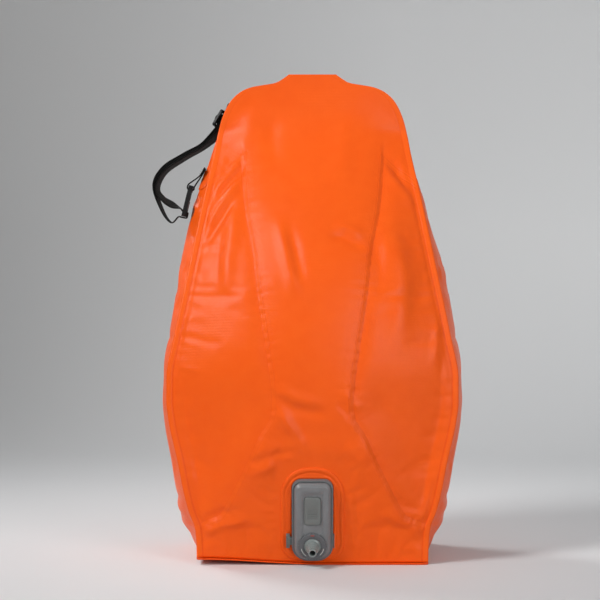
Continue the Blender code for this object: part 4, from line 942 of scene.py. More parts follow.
# %% Build the back
back_folds = (
    (2.6, 7.0, ((-70, 392), (-52, 366), (-44, 350))),
    (-2.4, 6.0, ((-82, 378), (-62, 350), (-48, 330))),
    (2.4, 7.0, ((72, 386), (56, 366), (44, 352))),
    (-2.0, 6.0, ((88, 372), (66, 346), (50, 330))),
    (2.2, 8.0, ((-60, 262), (-84, 240), (-112, 226))),
    (2.4, 8.0, ((58, 258), (84, 238), (112, 228))),
    (-2.2, 7.0, ((-50, 244), (-70, 214), (-96, 196))),
    (-2.2, 7.0, ((48, 246), (70, 216), (98, 200))),
    (2.0, 9.0, ((-6, 228), (-12, 190), (-4, 150))),
    (2.6, 7.0, ((-124, 60), (-92, 66), (-58, 60))),
    (2.2, 7.0, ((120, 56), (90, 64), (56, 62))),
    (-2.0, 6.0, ((-112, 82), (-84, 84), (-60, 80))),
    (1.6, 5.0, ((-30, 470), (-20, 440), (-26, 410))),
    (-1.6, 5.0, ((22, 478), (14, 446), (20, 414))),
)


def strap_clear(x, z):
    """Zero under the strap and the right hook, one elsewhere, so that folds stay off them."""
    line = [(-70, 486), (-54, 450), (-30, 407), (5, 372), (45, 359), (72, 372), (76, 432)]
    far, _, _ = line_distance(x * 1000, z * 1000, line)
    return rising(far, 13, 12)


def build_back():
    weld_radius, hole_radius = 0.047, 0.0262
    grid = front_grid(back_y, front_heights(0.0055), 56, -1)
    x, z = grid[..., 0], grid[..., 2]
    filler_far = np.hypot(x, z - filler_height)
    still = lip_free(x, z, 0.006) * rising(filler_far, 0.042, 0.008)
    pins = np.maximum(1 - still, foot_pins(z))
    pins = np.maximum(pins, rising(z, 0.42, 0.10))
    grid = settle("back", grid, pins, 0.34, pressure=1.5, growth=0.006, limit=0.0028)
    x, z = grid[..., 0], grid[..., 2]
    filler_far = np.hypot(x, z - filler_height)
    free = lip_free(x, z) * rising(filler_far, 0.043, 0.012)
    free *= between_ends(z)
    free *= strap_clear(x, z)
    push = fold_heights(x, z, back_folds) + 0.0010 * ripple(x, z, 0.05, 21)
    push += 0.0003 * ripple(x, z, 0.017, 22)
    push += seam_puckers(np.abs(x), z, [lip_line], 23, 0.018, 0.0009)
    grid = grid + grid_normals(grid) * (push * free)[..., None]
    edge = np.clip(lip_half_width(z) - np.abs(x), 0.0, None)
    turn = np.arctan2(z - filler_height, x) * weld_radius
    marks = {"seam_distance": np.abs(filler_far - weld_radius), "seam_place": turn,
             "edge_distance": edge, "edge_place": z}
    cloth_grids["back"] = grid
    return thicken(grid_object("back_fabric", grid, orange_fabric, filler_far < hole_radius,
                               marks))


dress(build_back(), "bag", "orange_fabric", "back_panel")

# %% [markdown]
# ## Gussets
# A gusset is the strip that gives the bag its depth. It is widest low down, where the water is
# deepest, and it closes to nothing near the top. Seen from the side it carries long upright folds,
# since the strip is straight and the edges that hold it are curved.

# %% Build the gussets
gusset_folds = (
    (3.0, 7.0, ((4, 60), (2, 130), (10, 210), (6, 300))),
    (-2.4, 6.0, ((-22, 90), (-20, 160), (-14, 240))),
    (2.0, 6.0, ((-38, 70), (-36, 120), (-30, 170))),
    (-2.4, 6.5, ((28, 70), (30, 150), (24, 240))),
    (2.2, 6.0, ((42, 60), (44, 120), (38, 190))),
    (-2.0, 5.0, ((-50, 40), (-10, 52), (30, 46))),
    (2.4, 5.5, ((-46, 28), (-4, 36), (40, 30))),
    (1.8, 5.0, ((-26, 300), (-2, 330), (10, 352))),
    (-1.8, 4.5, ((-20, 282), (6, 310), (22, 330))),
)
gusset_height_share = 0.86


def build_gusset(name, side):
    foot, rows, columns = base_thickness + skin_gap, 92, 33
    heights = np.linspace(foot, foot + gusset_height_share * bag_height, rows)
    grid = np.array([np.column_stack([side_section(z, columns - 3), np.full(columns, z)])
                     for z in heights])
    z = grid[..., 2]
    lip = np.linspace(0.0, 1.0, columns)
    pins = np.maximum(1 - rising(np.minimum(lip, 1 - lip), 0.02, 0.05), foot_pins(z))
    pins = np.maximum(pins, rising(z, 0.44, 0.02))
    grid[..., 0] *= side
    if side < 0:
        grid = grid[:, ::-1]
    grid = finer(swell(name, grid, pins, pressure=1.0, growth=0.006, limit=0.0014))
    y, z = grid[..., 1], grid[..., 2]
    share = np.linspace(0.0, 1.0, grid.shape[1])[None, :] * np.ones_like(y)
    free = rising(np.minimum(share, 1 - share), 0.06, 0.12)
    free *= rising(z, 0.010, 0.02) * rising(z, 0.36, -0.06)
    push = 0.6 * fold_heights(y, z, gusset_folds) + 0.0006 * ripple(y, z, 0.05, 31 + side)
    push += 0.0002 * ripple(y, z, 0.015, 41 + side) - 0.0015
    grid = grid + grid_normals(grid) * (push * free)[..., None]
    if side > 0:
        flatter = rising(z, 0.31, 0.07) * (1 - (2 * share - 1)**2)
        grid[..., 0] -= 0.0070 * flatter
    if side < 0:
        middle = rising(np.abs(share - 0.5), 0.20, -0.08)
        grid[..., 0] += 0.0012 * (rising(z, 0.395, 0.012) * middle)
    grid[..., 2] += foot_lift(grid)
    marks = {"seam_distance": np.full(y.shape, 1.0), "seam_place": z,
             "edge_distance": np.minimum(share, 1 - share) * 0.14, "edge_place": z}
    cloth_grids[name] = grid
    return thicken(grid_object(name, grid, orange_fabric, None, marks))


for name, side in (("left_gusset_fabric", -1), ("right_gusset_fabric", 1)):
    dress(build_gusset(name, side), "bag", "orange_fabric", name.replace("_fabric", ""))

# %% [markdown]
# ## Base
# The base is a stiffer sheet of the same cloth with rounded corners. Its welded rim shows as a
# thin line all round the foot of the bag, and it lies flat, because the water presses it down.

# %% Build the base
def build_base():
    u, v = np.meshgrid(np.linspace(-1, 1, 65), np.linspace(-1, 1, 43))
    x, y = round_corners(u * base_half_width, v * base_half_depth, base_half_width,
                         base_half_depth, 0.006)
    z = base_thickness + 0.0002 * ripple(x, y, 0.05, 51) - 0.0003
    grid = np.stack([x, y, z], axis=2)
    grid[..., 2] += foot_lift(grid)
    return thicken(grid_object("base_sheet", grid, base_fabric), 0.0014)


dress(build_base(), "bag", "base_fabric", "base_panel")

# %% [markdown]
# ## Moulded plastic
# The pump module and the strap's fittings are moulded. A mould leaves a fine even grain, hands
# polish the edges until they look lighter, and some dust settles on the flats. Grain and wear are
# node groups, and each plastic places them with values of its own.

# %% Node groups: moulded grain and edge wear
def build_grain_group():
    tree, inside, outside = new_group(
        "moulded grain",
        [("Place", VECTOR, None), ("Grain", FLOAT, 2200.0), ("Flow", FLOAT, 0.3)],
        [("Height", FLOAT), ("Tone", FLOAT), ("Gloss", FLOAT)])
    plus, _, times, _ = sums(tree)
    place, grain, flow = list(inside.outputs)[:3]
    fine, broad = noise(tree, place, grain, 2.0), noise(tree, place, 85.0, 3.0, 0.55)
    feed_all(tree, outside, Height=plus(fine, times(broad, flow)), Tone=broad,
             Gloss=plus(times(fine, 0.4), times(broad, 0.6)))
    return tree


def build_wear_group():
    tree, inside, outside = new_group(
        "edge wear",
        [("Place", VECTOR, None), ("Edge", FLOAT, 0.0), ("Amount", FLOAT, 0.6)],
        [("Mask", FLOAT), ("Dust", FLOAT)])
    _, _, times, _ = sums(tree)
    place, edge, amount = list(inside.outputs)[:3]
    broken = ramp(tree, noise(tree, place, 700.0, 4.0), 0.3, 0.7)
    specks = ramp(tree, noise(tree, place, 340.0, 4.0, 0.7), 0.56, 0.80)
    feed_all(tree, outside, Mask=times(broken, times(edge, amount)), Dust=times(specks, 0.22))
    return tree


grain_group, wear_group = build_grain_group(), build_wear_group()
print("groups", grain_group.name, wear_group.name)


# %% Material: moulded plastic in its colours
def moulded(name, dark, plain, worn, rough=0.42, grain=2200.0, wear=0.6, shine=0.45):
    """Grained plastic from dark to plain, rubbed to worn along its edges."""
    made, tree, shader = new_material(name)
    plus, minus, times, _ = sums(tree)
    place = object_place(tree)
    grained = use_group(tree, grain_group, Place=place, Grain=grain, Flow=0.3)
    rubbed = use_group(tree, wear_group, Place=place, Edge=attribute(tree, "edge"), Amount=wear)
    colour = mix_colour(tree, grained["Tone"], dark, plain)
    for label in ("Mask", "Dust"):
        colour = mix_colour(tree, rubbed[label], colour, worn)
    gloss = minus(plus(times(grained["Gloss"], 0.16), rough - 0.08), times(rubbed["Mask"], 0.08))
    feed_shader(tree, shader, grained["Height"], 0.00003, 0.5, Base_Color=colour,
                Roughness=gloss, Specular_IOR_Level=shine)
    return made


housing_plastic = moulded("grey_housing_plastic", (0.150, 0.154, 0.158), (0.182, 0.186, 0.190),
                          (0.30, 0.31, 0.32), 0.40)
bezel_plastic = moulded("grey_bezel_plastic", (0.120, 0.124, 0.128), (0.150, 0.154, 0.158),
                        (0.25, 0.26, 0.26), 0.46)
button_plastic = moulded("grey_button_plastic", (0.128, 0.138, 0.132), (0.155, 0.165, 0.158),
                         (0.24, 0.25, 0.24), 0.52, 1800.0)
dial_plastic = moulded("dark_dial_plastic", (0.085, 0.088, 0.094), (0.112, 0.116, 0.122),
                       (0.24, 0.25, 0.26), 0.44)
nozzle_plastic = moulded("green_grey_nozzle_plastic", (0.158, 0.182, 0.175),
                         (0.190, 0.215, 0.206), (0.31, 0.34, 0.33), 0.34, shine=0.55)
mark_plastic = moulded("pale_mark_plastic", (0.42, 0.44, 0.42), (0.50, 0.52, 0.50),
                       (0.60, 0.62, 0.60), 0.5)
red_mark_plastic = moulded("red_mark_plastic", (0.26, 0.055, 0.045), (0.33, 0.075, 0.06),
                           (0.42, 0.14, 0.12), 0.5)
black_plastic = moulded("black_fitting_plastic", (0.005, 0.005, 0.005), (0.009, 0.009, 0.009),
                        (0.030, 0.030, 0.031), 0.44, 1600.0, 0.5, shine=0.25)
seal_rubber = moulded("black_seal_rubber", (0.012, 0.012, 0.012), (0.022, 0.022, 0.022),
                      (0.05, 0.05, 0.05), 0.72, 1200.0, 0.2, shine=0.25)
pump_plastic = moulded("pale_pump_plastic", (0.48, 0.50, 0.50), (0.60, 0.62, 0.62),
                       (0.72, 0.73, 0.73), 0.36, 1500.0, 0.4)
battery_sleeve = moulded("blue_battery_sleeve", (0.035, 0.09, 0.28), (0.055, 0.13, 0.37),
                         (0.22, 0.30, 0.50), 0.28, 900.0, 0.4, shine=0.6)
print("plastics ready")


# %% Materials: steel and board
def drawn_steel(name):
    """Steel with fine lines along its length and a slightly uneven polish."""
    made, tree, shader = new_material(name)
    plus, _, times, _ = sums(tree)
    place = object_place(tree)
    stretch = add_node(tree, "ShaderNodeVectorMath", {0: place, 1: (1.0, 0.06, 1.0)},
                       operation="MULTIPLY")
    lines = noise(tree, stretch.outputs[0], 2600.0)
    grained = use_group(tree, grain_group, Place=place, Grain=1500.0, Flow=0.4)
    colour = mix_colour(tree, grained["Tone"], (0.46, 0.46, 0.47), (0.60, 0.60, 0.61))
    feed_shader(tree, shader, lines, 0.00001, Base_Color=colour, Metallic=1.0,
                Roughness=plus(times(lines, 0.2), 0.2))
    return made


def printed_board(name):
    """Green lacquer over copper tracks on a grid."""
    made, tree, shader = new_material(name)
    plus, _, times, _ = sums(tree)
    place = object_place(tree)
    x, _, z = axes(tree, place)
    tracks = [ramp(tree, wave(tree, value, pitch), 0.80, 0.92)
              for value, pitch in ((x, 0.0031), (z, 0.0023))]
    blocks = ramp(tree, noise(tree, place, 160.0, 1.0), 0.47, 0.50)
    colour = mix_colour(tree, mix_colour(tree, blocks, *tracks), (0.010, 0.085, 0.030),
                        (0.030, 0.19, 0.065))
    grained = use_group(tree, grain_group, Place=place, Grain=1800.0, Flow=0.3)
    feed_all(tree, shader, Base_Color=colour,
             Roughness=plus(times(grained["Gloss"], 0.2), 0.25))
    return made


steel = drawn_steel("drawn_steel")
board_laminate = printed_board("green_board_laminate")
print("materials", steel.name, board_laminate.name)

# %% [markdown]
# ## Rounding a CAD solid
# CAD edges are perfectly sharp, and real moulded edges never are: a small radius catches a line of
# light. Each fitting is a copy of its solid with its corners merged and its flat triangles joined,
# and then a bevel rounds it. The bevelled faces are remembered, so that the wear falls on them.

# %% Helpers: bake, round and dress a piece
def bake(name, piece):
    """The piece with its modifiers applied, as a new plain object."""
    graph = bpy.context.evaluated_depsgraph_get()
    graph.update()
    mesh = bpy.data.meshes.new_from_object(piece.evaluated_get(graph),
                                           preserve_all_data_layers=True, depsgraph=graph)
    mesh.name = name
    bpy.data.objects.remove(piece)
    return new_object(name, mesh)


def rounded(name, node, width, look, segments=2, angle=30.0):
    """A copy of a CAD solid with its edges rounded and its bevels marked for wear."""
    shape = bmesh.new()
    shape.from_mesh(nodes[node].data)
    bmesh.ops.remove_doubles(shape, verts=shape.verts, dist=0.000002)
    bmesh.ops.dissolve_limit(shape, angle_limit=math.radians(0.8), verts=shape.verts,
                             edges=shape.edges)
    bmesh.ops.recalc_face_normals(shape, faces=shape.faces)
    mesh = bpy.data.meshes.new(name + "_sharp")
    shape.to_mesh(mesh)
    shape.free()
    mesh.materials.clear()
    mesh.materials.append(look)
    mesh.materials.append(look)
    mesh.polygons.foreach_set("material_index", [0] * len(mesh.polygons))
    piece = new_object(name + "_sharp", mesh)
    edge = piece.modifiers.new("rounding", "BEVEL")
    edge.width = width
    edge.segments = segments
    edge.limit_method = "ANGLE"
    edge.angle_limit = math.radians(angle)
    edge.material = 1
    made = bake(name, piece)
    faces = made.data.polygons
    on_edge = np.zeros(len(faces), np.int32)
    faces.foreach_get("material_index", on_edge)
    layer = made.data.attributes.new("edge", "FLOAT", "FACE")
    layer.data.foreach_set("value", on_edge.astype(np.float32))
    faces.foreach_set("material_index", np.zeros(len(faces), np.int32))
    made.data.materials.pop()
    made.data.shade_smooth()
    made.data.set_sharp_from_angle(angle=math.radians(42))
    return made


def mouldings(rows, segments=2):
    """Round and dress solids from rows of node, bevel width, material, body and slot."""
    for node, width, look, body, slot in rows:
        dress(rounded(node + "_moulding", node, width, look, segments), body, slot, node)


print("rounding ready")

# %% [markdown]
# ## The pump module
# The module is a grey housing with a broad chamfer, a slightly sunk panel, a soft button with
# three grip lines, a notched flow dial and a tapered hose nozzle. Each is its own moulding, so
# each gets its own small radius and its own grey.

# %% Round the module's mouldings
mouldings((("front_housing", 0.0007, housing_plastic, "module", "housing_plastic"),
           ("rear_housing", 0.0004, housing_plastic, "module", "housing_plastic"),
           ("module_socket", 0.0004, bezel_plastic, "bag", "bezel_plastic"),
           ("power_button", 0.0003, button_plastic, "button", "button_plastic"),
           ("release_button", 0.0002, button_plastic, "release", "button_plastic"),
           ("fixed_catch", 0.0002, button_plastic, "bag", "button_plastic"),
           ("hose_nozzle", 0.0003, nozzle_plastic, "module", "nozzle_plastic")))

# %% [markdown]
# ## Geometry Nodes: a small workshop
# What repeats along a line or round a ring is made by Geometry Nodes: the notches of the dial, the
# ridges on the cap, the thread on the filler's neck and every stitch. Each tree has named
# inputs with sizes of its own, and a piece sets only what differs. The result is baked to a
# plain mesh.

# %% Helpers for Geometry Nodes
def new_shape_tree(name, inputs):
    made = new_group(name, [("Geometry", GEOMETRY, None), *inputs, ("Material", MATERIAL, None)],
                     [("Geometry", GEOMETRY)], "GeometryNodeTree")
    made[0].is_modifier = True
    return made


def end_shape_tree(tree, inside, outside, geometry):
    """Every tree ends alike: realized, smooth and with its material."""
    real = add_node(tree, "GeometryNodeRealizeInstances", {"Geometry": geometry})
    smooth = add_node(tree, "GeometryNodeSetShadeSmooth", {"Geometry": real.outputs[0]})
    paint = add_node(tree, "GeometryNodeSetMaterial",
                     {"Geometry": smooth.outputs[0], "Material": inside.outputs["Material"]})
    feed_all(tree, outside, Geometry=paint.outputs[0])
    return tree


def run_shape_tree(name, tree, lines, look, **values):
    """Runs a tree on lines of points, with its inputs set by their names, and bakes it."""
    piece = new_object(name + "_tree", line_mesh(name + "_lines", lines))
    change = piece.modifiers.new("shape", "NODES")
    change.node_group = tree
    sockets = {item.name: item.identifier for item in tree.interface.items_tree
               if item.item_type == "SOCKET" and item.in_out == "INPUT"}
    for label, value in {**values, "Material": look}.items():
        change[sockets[label.replace("_", " ")]] = value
    made = bake(name, piece)
    if not made.data.materials:
        made.data.materials.append(look)
    return made


def line_mesh(name, lines):
    """A mesh of edges only, one chain for each list of points."""
    points, edges = [], []
    for line in lines:
        start = len(points)
        points += [tuple(point) for point in line]
        edges += [(start + step, start + step + 1) for step in range(len(line) - 1)]
    mesh = bpy.data.meshes.new(name)
    mesh.from_pydata(points, edges, [])
    return mesh


def combined(tree, *values):
    """A vector from its x, y and z."""
    return add_node(tree, "ShaderNodeCombineXYZ", dict(enumerate(values))).outputs[0]


def turned_frame(place, *angles):
    """A matrix that turns by the angles and then moves to the place."""
    return Matrix.Translation(place) @ Euler(angles).to_matrix().to_4x4()


print("workshop ready")

# %% [markdown]
# ## The flow dial
# The dial is a flat ring with shallow notches for the fingertips. A circle swept with a rounded
# rectangle gives the ring, and a wave round its rim presses the notches in. The wave fades towards
# the middle, so the bore stays round.

# %% Node tree: notched ring
def build_ring_tree():
    tree, inside, outside = new_shape_tree(
        "notched ring",
        [("Inner Radius", FLOAT, 0.0096), ("Outer Radius", FLOAT, 0.0157),
         ("Thickness", FLOAT, 0.003), ("Corner", FLOAT, 0.0005), ("Notches", INT, 30),
         ("Notch Depth", FLOAT, 0.0005)])
    plus, minus, times, over = sums(tree)
    inner, outer, thickness, corner, notches, depth = list(inside.outputs)[1:7]
    middle = times(plus(inner, outer), 0.5)
    circle = add_node(tree, "GeometryNodeCurvePrimitiveCircle",
                      {"Resolution": 240, "Radius": middle})
    section = add_node(tree, "GeometryNodeCurvePrimitiveQuadrilateral",
                       {"Width": minus(outer, inner), "Height": thickness})
    soft = add_node(tree, "GeometryNodeFilletCurve",
                    {"Count": 3, "Curve": section.outputs["Curve"], "Radius": corner},
                    mode="POLY")
    ring = add_node(tree, "GeometryNodeCurveToMesh",
                    {"Curve": circle.outputs["Curve"], "Profile Curve": soft.outputs["Curve"]})
    x, y, _ = axes(tree, add_node(tree, "GeometryNodeInputPosition").outputs[0])
    reach = maths(tree, "SQRT", plus(times(x, x), times(y, y)))
    rim_wave = maths(tree, "COSINE", times(maths(tree, "ARCTAN2", y, x), notches))
    outwards = maths(tree, "DIVIDE", minus(reach, middle), minus(outer, middle), clamp=True)
    shrink = over(times(minus(rim_wave, 1.0), 0.5, outwards, depth), reach)
    press = add_node(tree, "GeometryNodeSetPosition",
                     {"Geometry": ring.outputs["Mesh"],
                      "Offset": combined(tree, times(x, shrink), times(y, shrink))})
    return end_shape_tree(tree, inside, outside, press.outputs["Geometry"])


ring_tree = build_ring_tree()
print("tree", ring_tree.name)

# %% Place the dial's ring and its marks
outlet_frame = turned_frame((0.0, -outlet_reach, outlet_height), outlet_lean, 0.0, 0.0)
dial_drop, dial_back, dial_front = 0.0270, 0.01325, 0.01618
dial_ring = run_shape_tree("flow_dial_ring", ring_tree, [], dial_plastic, Inner_Radius=0.00956,
                           Outer_Radius=0.01566, Thickness=dial_front - dial_back,
                           Notch_Depth=0.0008)
dial_ring.data.transform(outlet_frame @ turned_frame(
    (0.0, -(dial_back + dial_front) / 2, -dial_drop), math.pi / 2, 0.0, 0.0))
dress(dial_ring, "dial", "button_plastic")


def face_mark(name, radius, width, start, end, look):
    """A low rounded bar on the dial's face, bent round its axis between two angles."""
    steps, rows, mark_rise, mark_sink = 18, 7, 0.00025, 0.00005
    turn = np.linspace(math.radians(start), math.radians(end), steps)
    share = np.linspace(-1.0, 1.0, rows)
    taper = np.sqrt(np.clip(1 - np.abs(np.linspace(-1, 1, steps))**8, 0.0, 1.0))
    reach = radius + share[None, :] * width / 2 * taper[:, None]
    rise = mark_rise * np.sqrt(np.clip(1 - share[None, :]**2, 0, 1)) * taper[:, None]
    grid = np.stack([reach * np.cos(turn)[:, None], -(dial_front - mark_sink + rise),
                     reach * np.sin(turn)[:, None]], axis=2)
    mark = grid_object(name, grid, look)
    mark.data.transform(outlet_frame @ Matrix.Translation((0.0, 0.0, -dial_drop)))
    face_outwards(mark.data, (0.0, -1.0, 0.0))
    dress(mark, "dial", "button_plastic")


face_mark("flow_mark_left", 0.0124, 0.0011, 188, 238, mark_plastic)
face_mark("flow_mark_right", 0.0124, 0.0011, -8, -52, mark_plastic)
face_mark("flow_pointer", 0.0131, 0.0016, 80, 100, red_mark_plastic)

# %% [markdown]
# ## The outlet patch
# Round the module lies a second layer of cloth, arched at the top and welded down in two tracks.
# It is drawn as rings of points from the hole outwards: a raised bead beside the bezel, a flat
# field, a pressed weld track and a rounded rim.

# %% Build the outlet patch
def outline_reach(turns, half_width, half_height, top_corner, bottom_corner, rise):
    """How far a rounded outline lies from the middle, in each direction."""
    points = []
    for number, corner in enumerate((top_corner, top_corner, bottom_corner, bottom_corner)):
        side = 1 if number in (0, 3) else -1
        up = 1 if number < 2 else -1
        for step in range(13):
            turn = math.pi / 2 * (number + step / 12)
            points.append((side * (half_width - corner) + corner * math.cos(turn),
                           up * (half_height - corner) + rise + corner * math.sin(turn)))
    points.append(points[0])
    dense = []
    for (x0, z0), (x1, z1) in zip(points, points[1:]):
        dense += [(x0 + (x1 - x0) * s, z0 + (z1 - z0) * s) for s in np.linspace(0, 1, 9)[:-1]]
    dense = np.array(dense)
    angle = np.arctan2(dense[:, 1], dense[:, 0])
    order = np.argsort(angle)
    return np.interp(turns, angle[order], np.hypot(*dense.T)[order], period=2 * math.pi)


# Half width, half height, top and bottom corner, and how far the middle lies above the outlet
patch_hole = (0.02270, 0.04695, 0.0101, 0.0176, 0.0)
patch_rim = (0.0350, 0.05425, 0.0315, 0.0200, 0.0055)
patch_lift, patch_wall, patch_relief_limit = 0.0003, 0.0010, 0.00115


def build_outlet_patch():
    steps, rings = 192, 30
    turns = np.linspace(-math.pi, math.pi, steps + 1)
    inner, outer = outline_reach(turns, *patch_hole), outline_reach(turns, *patch_rim)
    share = np.linspace(0.0, 1.0, rings)[:, None]
    reach = inner[None, :] + (outer - inner)[None, :] * share
    x, z = reach * np.cos(turns), reach * np.sin(turns)
    to_inner, to_outer = reach - inner, outer - reach
    rise = patch_lift + patch_wall * rising(to_outer, 0.0, 0.0010)
    for away, height, middle, half in ((to_inner, 0.0006, 0.0016, 0.0012),
                                       (to_outer, 0.0005, 0.0030, 0.0016),
                                       (to_outer, -0.0003, 0.0062, 0.0010)):
        rise += height * hump(away, middle, half)
    rise += 0.00025 * ripple(x, z, 0.02, 61) * rising(to_outer, 0.0, 0.003)
    rise -= 0.0012 * (1 - rising(to_outer, 0.0, 0.0004))
    under_button = rising(x, -0.0185, -0.0015) * rising(np.abs(z + 0.0243), 0.0125, -0.003)
    rise += (np.minimum(rise, patch_relief_limit) - rise) * under_button
    grid = np.stack([x, -rise, z], axis=2)
    patch = grid_object("outlet_patch_fabric", grid, patch_fabric)
    mesh = patch.data
    set_uv(mesh, np.stack([x.reshape(-1), z.reshape(-1)], axis=1))
    edit_mesh(mesh, lambda shape: bmesh.ops.remove_doubles(shape, verts=shape.verts,
                                                           dist=0.000001))
    face_outwards(mesh, (0.0, -1.0, 0.0))
    mesh.transform(outlet_frame)
    return dress(patch, "bag", "orange_fabric", "outlet_patch")


build_outlet_patch()

# %% [markdown]
# ## Webbing
# Strap webbing is woven in slanting ribs, has a firmer edge on each side and hardly shines. The
# strap is drawn directly along its route: out from the adjuster, through the left hook, back over
# the adjuster, and down behind the bag to the second hook. The cross-section is a flat bar with
# soft edges, and its UV map runs across and along, so that the ribs follow every bend.

# %% Material: webbing
def build_webbing_group():
    tree, inside, outside = new_group(
        "webbing weave",
        [("Place", VECTOR, None), ("Rib", FLOAT, 0.0017), ("Half Width", FLOAT, 0.010)],
        [("Height", FLOAT), ("Tone", FLOAT)])
    plus, minus, times, _ = sums(tree)
    place, rib, half_width = list(inside.outputs)[:3]
    across, along, _ = axes(tree, place)
    off_middle = maths(tree, "ABSOLUTE", across)
    ribs = wave(tree, plus(along, maths(tree, "PINGPONG", off_middle, 0.0016)), rib)
    yarn = wave(tree, across, 0.0006)
    selvedge = band(tree, minus(half_width, off_middle), 0.0, 0.0009, 0.0004)
    fuzz = noise(tree, place, 2400.0, 2.0)
    # Tone: lighter on the rib crests and darker between them, a painted highlight and shade, with
    # fuzz that varies at random.
    feed_all(tree, outside,
             Height=plus(times(ribs, 0.7), times(yarn, 0.25), times(selvedge, 0.8),
                         times(fuzz, 0.6)),
             Tone=plus(times(ribs, 0.25), times(fuzz, 0.6), clamp=True))
    return tree


def woven_webbing(name, width):
    made, tree, shader = new_material(name)
    plus, _, times, _ = sums(tree)
    weave = use_group(tree, webbing_group, Place=cloth_place(tree), Half_Width=width / 2)
    # The tone's lighter rib crests are a painted highlight.
    colour = mix_colour(tree, weave["Tone"], (0.004, 0.0035, 0.0032), (0.010, 0.009, 0.008))
    feed_shader(tree, shader, weave["Height"], 0.0002, 0.8, Base_Color=colour,
                Roughness=plus(times(weave["Tone"], 0.15), 0.66), Specular_IOR_Level=0.14,
                Sheen_Weight=0.02)
    return made


webbing_group = build_webbing_group()
loop_width = 0.010
strap_weave = woven_webbing("black_strap_webbing", webbing_width)
loop_weave = woven_webbing("black_loop_webbing", loop_width)
thread = moulded("black_sewing_thread", (0.008, 0.008, 0.008), (0.02, 0.02, 0.02),
                 (0.04, 0.04, 0.04), 0.6, 3000.0, 0.2)
print("webbing", strap_weave.name)


# %% Draw a length of webbing
def smooth_path(points, parts):
    """A curve through the points, with parts steps between each two of them."""
    path = []
    for index in range(len(points) - 1):
        before = points[max(index - 1, 0)]
        start, end = points[index], points[index + 1]
        after = points[min(index + 2, len(points) - 1)]
        for part in range(parts):
            t = part / parts
            path.append(0.5 * (2 * start + (end - before) * t
                        + (2 * before - 5 * start + 4 * end - after) * t**2
                        + (3 * start - before - 3 * end + after) * t**3))
    path.append(points[-1])
    return path


webbing_section = ((-1.0, 0.0), (-0.96, 0.8), (-0.6, 1.0), (0.0, 1.0), (0.6, 1.0), (0.96, 0.8),
                   (1.0, 0.0), (0.96, -0.8), (0.6, -1.0), (0.0, -1.0), (-0.6, -1.0),
                   (-0.96, -0.8))


def draw_webbing(name, route, width, look, parts=6):
    """Flat webbing with soft edges from (point, side) pairs."""
    points = smooth_path([Vector(point) for point, _ in route], parts)
    sides = smooth_path([Vector(side) for _, side in route], parts)
    corners, places, run, last = [], [], 0.0, len(points) - 1
    for index, (point, side) in enumerate(zip(points, sides)):
        along = (points[min(index + 1, last)] - points[max(index - 1, 0)]).normalized()
        across = (side - along * side.dot(along)).normalized()
        over = along.cross(across)
        if index:
            run += (point - points[index - 1]).length
        for out, up in webbing_section:
            corners.append(point + across * out * width / 2 + over * up * webbing_thickness / 2)
            places.append((out * width / 2, run))
    count, faces = len(webbing_section), []
    for index in range(last):
        for corner in range(count):
            after = (corner + 1) % count
            faces.append((index * count + corner, index * count + after,
                          (index + 1) * count + after, (index + 1) * count + corner))
    faces += [tuple(reversed(range(count))), tuple(last * count + c for c in range(count))]
    mesh = bpy.data.meshes.new(name)
    mesh.from_pydata([tuple(corner) for corner in corners], [], faces)
    set_uv(mesh, places)
    edit_mesh(mesh, lambda shape: bmesh.ops.recalc_face_normals(shape, faces=shape.faces))
    mesh.shade_smooth()
    mesh.set_sharp_from_angle(angle=math.radians(60))
    mesh.materials.append(look)
    print(name, "is", round(run * 1000), "mm long")
    return new_object(name, mesh)


print("webbing section of", len(webbing_section), "corners")

# %% [markdown]
# ## The strap's route
# The places repeat the CAD model's own, so the webbing passes through the real slots of the hooks
# and the adjuster. Each place has a direction for the webbing's edge beside it, and both are
# smoothed together, which gives the strap its natural twist between two fittings.

# %% Route of the strap
hook_x, hook_y, hook_z, hook_tilt = 0.1415, 0.006, 0.7367 * bag_height, math.radians(14)
back_hook_x, back_hook_lift, back_hook_lean = 0.074, 0.0085, math.radians(12)
hook_length, hook_thickness, hook_bar, hook_slot = 0.036, 0.0048, 0.0036, 0.0042
adjuster_middle = Vector((-0.1035, 0.0385, 0.9037 * bag_height))
adjuster_bar, adjuster_slot, adjuster_thickness = 0.0030, 0.0060, 0.0026
left_frame = turned_frame((-hook_x, hook_y, hook_z), hook_tilt, 0.0, math.pi / 2)
right_frame = turned_frame((back_hook_x, float(back_y(back_hook_x, hook_z)) + back_hook_lift,
                            hook_z), back_hook_lean, 0.0, 0.0)
outward_route = (
    ((-0.124, 0.034, 0.8486), (0.12, 0.98, -0.14)), ((-0.145, 0.028, 0.8257), (0.13, 0.98, -0.12)),
    ((-0.1665, 0.02, 0.7982), (0.16, 0.98, -0.08)), ((-0.1755, 0.013, 0.7670), (0.18, 0.98, 0.0)),
    ((-0.171, 0.008, 0.7450), (0.14, 0.96, 0.16)), ((-0.16, 0.006, 0.7294), (0.0, 0.93, 0.36)),
)
return_route = (
    ((-0.16, 0.006, 0.6917), (0.0, 1.0, 0.0)), ((-0.17, 0.008, 0.7156), (0.08, 0.99, 0.06)),
    ((-0.179, 0.013, 0.7670), (0.2, 0.98, 0.0)), ((-0.1695, 0.02, 0.8046), (0.17, 0.98, -0.09)),
    ((-0.1475, 0.028, 0.8321), (0.14, 0.98, -0.12)),
    ((-0.1265, 0.034, 0.8541), (0.12, 0.98, -0.14)),
)
over_route = (
    ((-0.0925, 0.0425, 0.9330), (0.25, 0.93, -0.2)), ((-0.084, 0.04, 0.9312), (0.3, 0.93, 0.15)),
    ((-0.076, 0.0345, 0.9119), (0.55, 0.65, 0.5)),
)
